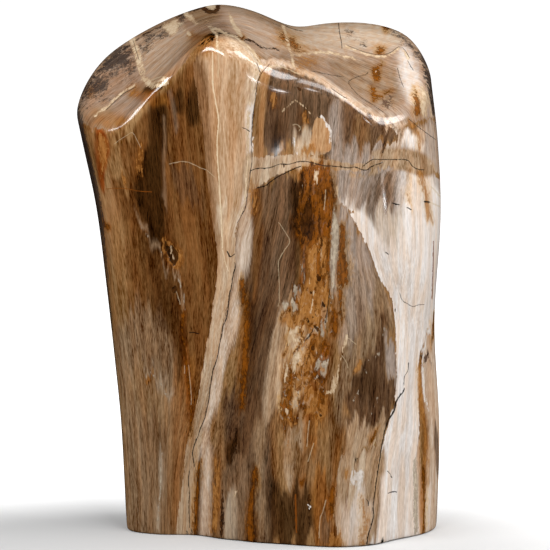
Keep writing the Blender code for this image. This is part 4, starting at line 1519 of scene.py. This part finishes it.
@dataclass
class Stone:
    """The polished stone: its net, its markings and its material.

    Fields: the camera; how near a drawn edge, in pixels, and how far turned to the camera the
    net is split, and the most edges that are; and where the crown's end grain comes in, by the
    level of its drawn zone and, behind, by how far a point faces up.
    """

    camera: StudioCamera
    split_reach: float = 3.0
    split_facing: float = 0.3
    most_splits: int = 17000
    crown_levels: tuple[float, float] = (0.2, 0.8)
    crown_facing_up: tuple[float, float] = (0.35, 0.75)

    def build(self) -> bpy.types.Object:
        """Builds and dresses the stone.

        Returns:
            The finished piece.
        """
        self.net = StoneNet(self.camera)
        near = np.where(self.net.facing() > self.split_facing, front_markings(self.net).edges, FAR)
        split = self.net.split_near(near, self.split_reach, self.most_splits)
        LOG.info("split %d edges near drawn edges", split)
        self.front = front_markings(self.net)
        self.wall = wall_markings(self.net)
        self.facing = self.net.facing()
        self._store_grounds()
        self._store_minerals()
        channels = self._store_hairlines()
        self._store_places()
        self.net.sink(self.front.pits * self.facing)
        piece = self.net.piece
        bpy.ops.object.select_all(action="DESELECT")
        piece.select_set(True)
        bpy.context.view_layer.objects.active = piece
        bpy.ops.object.shade_smooth()
        piece.data.materials.append(StoneMaterial(channels).build())
        triangles = sum(len(face.vertices) - 2 for face in piece.data.polygons)
        LOG.info("%s: %d points, %d triangles", piece.name, len(piece.data.vertices), triangles)
        return piece

    def _joined(self, front: np.ndarray, wall: np.ndarray) -> np.ndarray:
        """Runs from the wall's values to the front's by how far each point faces the camera."""
        share = self.facing if front.ndim == 1 else self.facing[:, None]
        return wall * (1 - share) + front * share

    def _store_grounds(self) -> None:
        """Keeps the colours of the grounds and the level of the pale zones on the net."""
        ones = np.ones((len(self.facing), 1))
        for (layer, shade), colour in self.front.colours.items():
            colour = self._joined(colour, self.wall.colours[layer, shade])
            self.net.store(f"{layer.value}_{shade}", np.hstack([colour, ones]))
        self.net.store("pale_level", self._joined(self.front.pale, self.wall.pale))

    def _store_minerals(self) -> None:
        """Keeps the minerals' levels on the net."""
        for mineral in Mineral:
            level = self._joined(self.front.levels[mineral], self.wall.levels[mineral])
            self.net.store(mineral.attribute, level)

    def _store_hairlines(self) -> list[Channel]:
        """Keeps the hairlines on the net.

        Returns:
            Their channels.
        """
        front, wall = self.front, self.wall
        channels = sorted({*front.hairlines, *wall.hairlines}, key=lambda c: c.attribute)
        unused = np.zeros((len(self.facing), 1))
        for channel in channels:
            lines = np.where(self.facing[:, None] > 0.5,
                             front.hairlines.get(channel, front.without_hairline()),
                             wall.hairlines.get(channel, wall.without_hairline()))
            self.net.store(channel.attribute, np.hstack([lines, unused]))
        return channels

    def _store_places(self) -> None:
        """Keeps where each point lies in the grain, on the crown and in the seam."""
        net = self.net
        points = net.points() / MM
        sheet = self.front.sheet
        across = straightened(sheet.at) * sheet.unit
        net.store("grain", np.stack([across, points[:, 1], points[:, 2]], axis=1))
        crown = np.zeros(len(points))
        found, level = sheet.level(CROWN_ZONE)
        crown[found] = smoothstep(*self.crown_levels, level)
        up = smoothstep(*self.crown_facing_up, net.normals()[:, 2])
        net.store("crown", self._joined(crown, up))
        seam = np.zeros(len(points))
        for zone in SEAM_ZONES:
            found, level = self.front.fibrous.level(zone)
            cover = smoothstep(0.0, 1.0, level) * zone.strength
            seam[found] = np.maximum(seam[found], cover)
        net.store("seam", seam * self.facing)


# The materials

Node = bpy.types.Node
Socket = bpy.types.NodeSocket
Colour = tuple[float, float, float, float]
Feed = Node | Socket | float | tuple[float, ...]

# settings of a number's smooth rise from 0 to 1, and of a mix of two colours
SMOOTH = {"interpolation_type": "SMOOTHSTEP"}
COLOURS = {"data_type": "RGBA"}
WHITE = (1.0, 1.0, 1.0, 1.0)


def paint_colour(code: str) -> Colour:
    """Gives a hex colour as a socket's value."""
    return (*linear(code), 1.0)


class Graph:
    """A material's node graph."""

    def __init__(self, name: str) -> None:
        """Starts an empty material."""
        self.material = bpy.data.materials.new(name)
        self.material.use_nodes = True
        self.material.node_tree.nodes.clear()

    def add(self, kind: str, *feeds: Feed | dict[int | str, Feed],
            **settings: object) -> Node:
        """Adds a node with its settings and links.

        Args:
            kind: The node's type, without its prefix.
            *feeds: What goes into its inputs in order: a node for its first output, a socket,
                a value, or a dict of such by the inputs' names or numbers.
            **settings: The node's own settings.

        Returns:
            The node.
        """
        tree = self.material.node_tree
        node = tree.nodes.new("ShaderNode" + kind)
        for name, value in settings.items():
            setattr(node, name, value)
        fed: dict[int | str, Feed] = {}
        for number, feed in enumerate(feeds):
            fed.update(feed if isinstance(feed, dict) else {number: feed})
        for key, value in fed.items():
            if isinstance(value, Node):
                value = value.outputs[0]
            if isinstance(value, Socket):
                tree.links.new(value, node.inputs[key])
            else:
                node.inputs[key].default_value = value
        return node


@dataclass(frozen=True)
class Pattern:
    """Noise: its grains' size along each axis in millimetres, its detail and its distortion."""

    size: tuple[float, float, float]
    detail: float
    distortion: float = 0.0


@dataclass
class StoneMaterial:
    """Petrified wood: quartz that took the place of the wood, stained by iron and manganese.

    Its surface was ground and polished with fine oxide, which gives it a clear gloss, so only
    cracks stay dull. Patterns in the grain run across it, into the stone and along it. Those in
    the rings of the sawn crown run out from the pith, along the rings and up.

    Fields: the hairline channels that the net carries, the patterns, and how they are used.
    """

    channels: list[Channel]

    # cells of the real wood are 0.1 mm wide, so fibres are drawn five times as coarse, to show
    fibres: Pattern = Pattern((0.7, 1.0, 18.0), 3.0)
    strands: Pattern = Pattern((2.6, 3.6, 60.0), 3.0, 0.15)
    bundles: Pattern = Pattern((12.0, 15.0, 150.0), 2.0, 0.2)
    grit: Pattern = Pattern((0.55, 0.8, 5.0), 4.0)
    drift: Pattern = Pattern((5.0, 6.0, 60.0), 3.0, 0.3)
    veins: Pattern = Pattern((3.2, 3.2, 8.0), 4.0, 0.9)
    rings: Pattern = Pattern((1.1, 22.0, 10.0), 3.0, 0.2)
    seasons: Pattern = Pattern((7.0, 60.0, 30.0), 2.0, 0.3)
    ring_grit: Pattern = Pattern((0.8, 5.0, 3.0), 4.0)
    clouds: Pattern = Pattern((9.0, 9.0, 14.0), 4.0, 0.6)
    specks: Pattern = Pattern((1.7, 1.7, 3.4), 4.0, 0.4)
    noise_roughness: float = 0.55

    # the pith lies in front of the stone, in millimetres
    pith: tuple[float, float, float] = (-20.0, -330.0, 0.0)

    # how much of each pattern makes the streaks, and the streaks between dark and light fibres
    fibre_shares: tuple[float, float, float] = (0.34, 0.38, 0.28)
    ring_shares: tuple[float, float] = (0.55, 0.45)
    streaks: tuple[float, float] = (0.37, 0.63)

    # single fibres stand out, darker and paler than their ground, and less on the crown
    grit_gain: float = 2.4
    fibre_limits: tuple[float, float] = (-0.5, 1.5)
    crown_calm: float = 0.4

    # edges fray by strands or clouds, by specks and by fibres
    fray_shares: tuple[float, float, float] = (1.3, 1.3, 0.7)
    pale_edge: tuple[float, float] = (0.40, 0.62)

    # the ground drifts between warmer and greyer fibres, a centimetre wide
    drift_rise: tuple[float, float] = (0.35, 0.65)
    warm_cast: Colour = (1.01, 0.91, 0.81, 1.0)
    grey_cast: Colour = (1.03, 1.06, 1.09, 1.0)

    # iron stains what lies round the rust and the ochre that it left
    stain: Colour = (0.84, 0.57, 0.22, 1.0)
    stain_share: float = 0.8
    stain_fray: float = 1.6
    rust_reach: tuple[float, float] = (-1.2, 0.7)
    ochre_reach: tuple[float, float] = (-1.0, 0.7)
    ochre_stain: float = 0.7
    seam_rise: tuple[float, float] = (0.40, 0.60)

    # where noise rises to a vein its level rises so steeply, and sinks so far off the seam
    vein_gain: float = 7.0
    seam_fall: float = 3.0

    # levels between which a mineral turns from its dark rim to its light inside, and how far
    # specks, clouds and fibres mottle it there
    rim: tuple[float, float] = (0.35, 1.1)
    cloud_rise: tuple[float, float] = (0.35, 0.65)
    speck_rise: tuple[float, float] = (0.38, 0.62)
    mottle_shares: tuple[float, float, float] = (0.425, 0.425, 0.35)

    # a hairline's width changes with the specks, and its edge is soft, in millimetres
    width_swing: tuple[float, float] = (3.0, -0.5)
    hairline_edge: tuple[float, float] = (-0.25, 0.2)

    # polished quartz, and how far an open crack is sunk, dulled and roughened
    ior: float = 1.544
    roughness: float = 0.13
    crack_roughness: float = 0.15
    specular: float = 0.5
    crack_specular: float = -0.45
    crack_depth: float = 0.1 * MM
    bump: float = 0.1

    def __post_init__(self) -> None:
        """Starts the graph with what more than one part of it reads."""
        self.graph = Graph("polished_petrified_wood")
        add = self.graph.add
        self.grain = add("Attribute", attribute_name="grain").outputs["Vector"]
        self.crown = add("Attribute", attribute_name="crown").outputs["Fac"]
        self.seam = add("Attribute", attribute_name="seam").outputs["Fac"]
        place = add("TexCoord").outputs["Object"]
        self.place = add("VectorMath", {0: place, "Scale": 1 / MM}, operation="SCALE")
        self.fine = self._laid(self.fibres, self.grain)
        self.middle = self._laid(self.strands, self.grain)
        self.cloud = self._laid(self.clouds, self.place)
        self.speck = self._laid(self.specks, self.place)

    def build(self) -> bpy.types.Material:
        """Joins grounds, minerals and hairlines into one polished surface.

        Returns:
            The material.
        """
        spread = self._spread()
        fray = self._fray()
        colour = self._grounds(spread, fray)
        colour = self._stained(colour, fray)
        colour = self._with_minerals(colour, spread, fray)
        colour, crack = self._with_hairlines(colour)
        self._polish(colour, crack)
        return self.graph.material

    def _laid(self, pattern: Pattern, place: Feed) -> Node:
        """Lays a pattern on places in millimetres.

        Args:
            pattern: The pattern.
            place: The places.

        Returns:
            The pattern's noise.
        """
        scale = tuple(1 / size for size in pattern.size)
        scaled = self.graph.add("VectorMath", place, scale, operation="MULTIPLY")
        feeds = {"Vector": scaled, "Scale": 1.0, "Detail": pattern.detail,
                 "Roughness": self.noise_roughness, "Distortion": pattern.distortion}
        return self.graph.add("TexNoise", feeds)

    def _weighed(self, start: Feed, *parts: tuple[Feed, float], middle: float = 0.0) -> Feed:
        """Adds up parts by their weights.

        Args:
            start: What they are added to.
            *parts: Each part and its weight.
            middle: What is taken off each part first.

        Returns:
            The sum.
        """
        total = start
        for part, weight in parts:
            if middle:
                part = self.graph.add("Math", part, middle, operation="SUBTRACT")
            total = self.graph.add("Math", part, weight, total, operation="MULTIPLY_ADD")
        return total

    def _spread(self) -> Feed:
        """Runs from 0 on dark fibres to 1 on light ones, past both where a fibre stands out.

        Returns:
            Where each place lies between its ground's two colours.
        """
        add = self.graph.add
        # growth rings of the sawn crown: arcs round the pith
        away = add("VectorMath", self.place, self.pith, operation="SUBTRACT")
        flat = add("VectorMath", away, (1.0, 1.0, 0.0), operation="MULTIPLY")
        radius = add("VectorMath", flat, operation="LENGTH").outputs["Value"]
        rings = add("CombineXYZ", radius, add("SeparateXYZ", self.place), 0.0)

        parts = (self.fine, self.middle, self._laid(self.bundles, self.grain))
        fibres = self._weighed(0.0, *zip(parts, self.fibre_shares))
        parts = (self._laid(self.rings, rings), self._laid(self.seasons, rings))
        arcs = self._weighed(0.0, *zip(parts, self.ring_shares))
        streak = add("Mix", {0: self.crown, 2: fibres, 3: arcs})
        spread = add("MapRange", streak, *self.streaks, **SMOOTH)
        grit = add("Mix", {0: self.crown, 2: self._laid(self.grit, self.grain),
                           3: self._laid(self.ring_grit, rings)})
        spread = self._weighed(spread, (grit, self.grit_gain), middle=0.5)
        spread = add("Clamp", spread, *self.fibre_limits)
        calm = add("Math", self.crown, self.crown_calm, operation="MULTIPLY")
        return add("Mix", {0: calm, 2: spread, 3: 0.5})

    def _fray(self) -> Feed:
        """Works out how far edges fray, on either side of 0.

        Returns:
            The fray, in levels.
        """
        wander = self.graph.add("Mix", {0: self.crown, 2: self.middle, 3: self.cloud})
        parts = zip((self.speck, wander, self.fine), self.fray_shares)
        return self._weighed(0.0, *parts, middle=0.5)

    def _ground(self, layer: Layer, spread: Feed) -> Feed:
        """Adds a layer's colour, between its dark and its light fibres.

        Args:
            layer: The layer.
            spread: Where each place lies between the two.

        Returns:
            The colour.
        """
        add = self.graph.add
        dark, light = (add("Attribute", attribute_name=f"{layer.value}_{shade}").outputs["Color"]
                       for shade in SHADES)
        mixed = add("Mix", {0: spread, 6: dark, 7: light}, clamp_factor=False, **COLOURS)
        return add("VectorMath", mixed.outputs[2], (0.0, 0.0, 0.0), operation="MAXIMUM")

    def _grounds(self, spread: Feed, fray: Feed) -> Feed:
        """Lays the pale zones on the grounds, and drifts their colour.

        Args:
            spread: Where each place lies between dark and light fibres.
            fray: How far edges fray.

        Returns:
            The grounds' colour.
        """
        add = self.graph.add
        level = add("Attribute", attribute_name="pale_level").outputs["Fac"]
        level = add("Math", level, fray, operation="ADD")
        over = add("MapRange", level, *self.pale_edge, **SMOOTH)
        colour = add("Mix", {0: over, 6: self._ground(Layer.GROUND, spread),
                             7: self._ground(Layer.PALE, spread)}, **COLOURS).outputs[2]
        drift = self._laid(self.drift, self.grain)
        share = add("MapRange", drift, *self.drift_rise, **SMOOTH)
        cast = add("Mix", {0: share, 6: self.warm_cast, 7: self.grey_cast}, **COLOURS)
        return add("VectorMath", colour, cast.outputs[2], operation="MULTIPLY")

    def _stained(self, colour: Feed, fray: Feed) -> Feed:
        """Stains the grounds with iron, strongest close by what it left, and all over the seam.

        Args:
            colour: The grounds' colour.
            fray: How far edges fray.

        Returns:
            The stained colour.
        """
        add = self.graph.add
        near = []
        for mineral, reach in ((Mineral.RUST, self.rust_reach), (Mineral.OCHRE, self.ochre_reach)):
            level = add("Attribute", attribute_name=mineral.attribute).outputs["Fac"]
            level = self._weighed(level, (fray, self.stain_fray))
            near.append(add("MapRange", level, *reach, **SMOOTH))
        ochre = add("Math", near[1], self.ochre_stain, operation="MULTIPLY")
        share = add("Math", near[0], ochre, operation="MAXIMUM")
        clouded = add("MapRange", self.cloud, *self.seam_rise, **SMOOTH)
        seam = add("Math", self.seam, clouded, operation="MULTIPLY")
        share = add("Math", share, seam, operation="MAXIMUM")
        share = add("Math", share, self.stain_share, operation="MULTIPLY")
        stain = add("Mix", {0: share, 6: WHITE, 7: self.stain}, **COLOURS)
        return add("VectorMath", colour, stain.outputs[2], operation="MULTIPLY")

    def _vein_level(self, least: float, offset: float) -> Feed:
        """Adds the level of a mineral that veins the seam.

        Args:
            least: How high the noise is where a vein lies.
            offset: The mineral's own place in the noise.

        Returns:
            The level.
        """
        moved = self.graph.add("VectorMath", self.grain, (offset, 0.0, 0.0), operation="ADD")
        veins = self._laid(self.veins, moved)
        level = self._weighed(EDGE_LEVEL, (veins, self.vein_gain), middle=least)
        return self._weighed(level, (self.seam, self.seam_fall), middle=1.0)

    def _with_minerals(self, colour: Feed, spread: Feed, fray: Feed) -> Feed:
        """Lays the minerals over the grounds, from the lowest up.

        Args:
            colour: The grounds' colour.
            spread: Where each place lies between dark and light fibres.
            fray: How far edges fray.

        Returns:
            The colour with minerals.
        """
        add = self.graph.add
        speckled = add("MapRange", self.speck, *self.speck_rise, **SMOOTH)
        clouded = add("MapRange", self.cloud, *self.cloud_rise, **SMOOTH)
        mottle = self._weighed(0.0, *zip((speckled, clouded, spread), self.mottle_shares))
        for mineral in Mineral:
            habit = HABITS[mineral]
            level = add("Attribute", attribute_name=mineral.attribute).outputs["Fac"]
            if habit.veins:
                level = add("Math", level, self._vein_level(*habit.veins), operation="MAXIMUM")
            frayed = self._weighed(level, (fray, habit.fray))
            within = add("MapRange", frayed, *self.rim, **SMOOTH)
            within = add("Math", within, mottle, operation="MULTIPLY")
            dark, light = (paint_colour(code) for code in mineral.value)
            own = add("Mix", {0: within, 6: dark, 7: light}, **COLOURS).outputs[2]
            mask = add("MapRange", frayed, *habit.edge, **SMOOTH)
            cover = add("Math", mask, habit.cover, operation="MULTIPLY")
            colour = add("Mix", {0: cover, 6: colour, 7: own}, **COLOURS).outputs[2]
        return colour

    def _with_hairlines(self, colour: Feed) -> tuple[Feed, Feed]:
        """Draws the hairlines over all else.

        Args:
            colour: The colour below them.

        Returns:
            The colour with hairlines, and how far each place lies in an open crack.
        """
        add = self.graph.add
        # they wander by a third of a millimetre
        shift = add("Math", self.speck, 0.5, operation="SUBTRACT")
        swing = add("Math", self.speck, *self.width_swing, operation="MULTIPLY_ADD")
        crack: Feed = 0.0
        for channel in self.channels:
            line = add("Attribute", attribute_name=channel.attribute).outputs["Vector"]
            way, width = add("SeparateXYZ", line).outputs[:2]
            away = add("Math", add("Math", way, shift, operation="ADD"), operation="ABSOLUTE")
            width = add("Math", width, swing, operation="MULTIPLY")
            depth = add("Math", width, away, operation="SUBTRACT")
            mask = add("MapRange", depth, *self.hairline_edge, **SMOOTH)
            if channel.fill is Fill.CRACK:
                crack = add("Math", mask, crack, operation="MAXIMUM")
            cover = add("Math", mask, FILL_COVER[channel.fill], operation="MULTIPLY")
            own = paint_colour(channel.fill.value)
            colour = add("Mix", {0: cover, 6: colour, 7: own}, **COLOURS).outputs[2]
        return colour, crack

    def _polish(self, colour: Feed, crack: Feed) -> None:
        """Gives the surface its gloss, and sinks and dulls its open cracks.

        Args:
            colour: The surface's colour.
            crack: How far each place lies in an open crack.
        """
        add = self.graph.add
        relief = add("Math", crack, -1.0, operation="MULTIPLY")
        bump = add("Bump", {"Strength": self.bump, "Distance": self.crack_depth, "Height": relief})
        feeds = {"Base Color": colour, "IOR": self.ior, "Normal": bump,
                 "Roughness": self._weighed(self.roughness, (crack, self.crack_roughness)),
                 "Specular IOR Level": self._weighed(self.specular, (crack, self.crack_specular))}
        add("OutputMaterial", add("BsdfPrincipled", feeds))


# The studio


@dataclass(frozen=True)
class Softbox:
    """A studio light: where it stands, its size, its power and whether the polish mirrors it."""

    name: str
    place: tuple[float, float, float]
    size: tuple[float, float]
    watts: float
    mirrored: bool = False


@dataclass(frozen=True)
class Studio:
    """The pale floor, the white surroundings and the softboxes.

    Fields: the lights and what they point at, the floor's size, paint and roughness, where its
    glow lies and between which distances it rises, and how bright the surroundings are.
    """

    softboxes: tuple[Softbox, ...] = (
        Softbox("key_right", (1.46, -0.65, 1.85), (1.0, 0.6), 20.0, True),
        Softbox("key_front", (0.61, -1.38, 1.94), (0.9, 0.5), 11.0, True),
        Softbox("glint_left", (-1.60, -1.05, 1.30), (0.80, 0.60), 24.0, True),
        Softbox("glint_middle", (-0.97, -1.68, 1.20), (1.15, 0.50), 25.0, True),
        Softbox("glint_front", (0.49, -1.82, 1.33), (0.30, 0.14), 2.0, True),
        Softbox("glint_low", (1.14, -1.63, 0.29), (0.13, 0.05), 1.1, True),
        Softbox("fill_right", (0.95, -1.70, 1.45), (1.2, 0.8), 8.0),
        Softbox("side_right", (2.10, 0.30, 0.90), (1.0, 1.0), 34.0),
    )
    aim: tuple[float, float, float] = (0.0, 0.0, 0.2)
    floor_size: float = 40.0
    floor_paint: str = "cbcbcb"
    floor_roughness: float = 0.9
    glow_stretch: tuple[float, float, float] = (0.8, 1.5, 1.0)
    glow_shift: tuple[float, float, float] = (0.05, 0.13, 0.0)
    glow_rise: tuple[float, float] = (0.15, 0.44)
    surroundings: float = 0.10

    def build(self) -> None:
        """Puts up the floor, the surroundings and the lights."""
        self._floor()
        world = bpy.data.worlds.new("white_studio")
        world.use_nodes = True
        background = world.node_tree.nodes["Background"]
        background.inputs[0].default_value = WHITE
        background.inputs[1].default_value = self.surroundings
        # the polish mirrors softboxes alone, so their edges stay clear in it
        world.cycles_visibility.glossy = False
        bpy.context.scene.world = world
        for box in self.softboxes:
            self._light(box)
        bpy.context.scene.view_settings.view_transform = "Standard"

    def _floor(self) -> None:
        """Lays the floor: matt white paint that glows further off, so a shadow lies only near.

        The stone neither mirrors it nor is lit by it.
        """
        bpy.ops.object.select_all(action="DESELECT")
        bpy.ops.mesh.primitive_plane_add(size=self.floor_size, location=(0.0, 0.0, 0.0))
        floor = bpy.context.view_layer.objects.active
        floor.name = "studio_floor"
        floor.visible_glossy = False
        floor.visible_diffuse = False
        graph = Graph("matt_white_floor")
        add = graph.add
        place = add("VectorMath", add("TexCoord").outputs["Object"], self.glow_stretch,
                    self.glow_shift, operation="MULTIPLY_ADD")
        away = add("VectorMath", place, operation="LENGTH").outputs["Value"]
        glow = add("MapRange", away, *self.glow_rise, **SMOOTH)
        feeds = {"Base Color": paint_colour(self.floor_paint), "Roughness": self.floor_roughness,
                 "Emission Color": WHITE, "Emission Strength": glow}
        add("OutputMaterial", add("BsdfPrincipled", feeds))
        floor.data.materials.append(graph.material)

    def _light(self, box: Softbox) -> None:
        """Puts up one light, turned to the stone.

        Args:
            box: The light.
        """
        data = bpy.data.lights.new(box.name, "AREA")
        data.shape = "RECTANGLE"
        data.size, data.size_y = box.size
        data.energy = box.watts
        light = bpy.data.objects.new(box.name, data)
        bpy.context.scene.collection.objects.link(light)
        light.location = box.place
        aim = Vector(self.aim) - Vector(box.place)
        light.rotation_mode = "QUATERNION"
        light.rotation_quaternion = aim.to_track_quat("-Z", "Y")
        light.visible_camera = False
        light.visible_glossy = box.mirrored


def main() -> None:
    """Builds the stone and the studio."""
    logging.basicConfig(level=logging.INFO, format="%(name)s: %(message)s")
    camera = StudioCamera()
    piece = Stone(camera).build()
    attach(piece, "root")
    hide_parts(NODE_NAME)
    LOG.info("built %s", piece.name)
    camera.place()
    Studio().build()
    LOG.info("put up the camera, the floor and %d lights", len(Studio.softboxes))


if __name__ == "__main__":
    main()
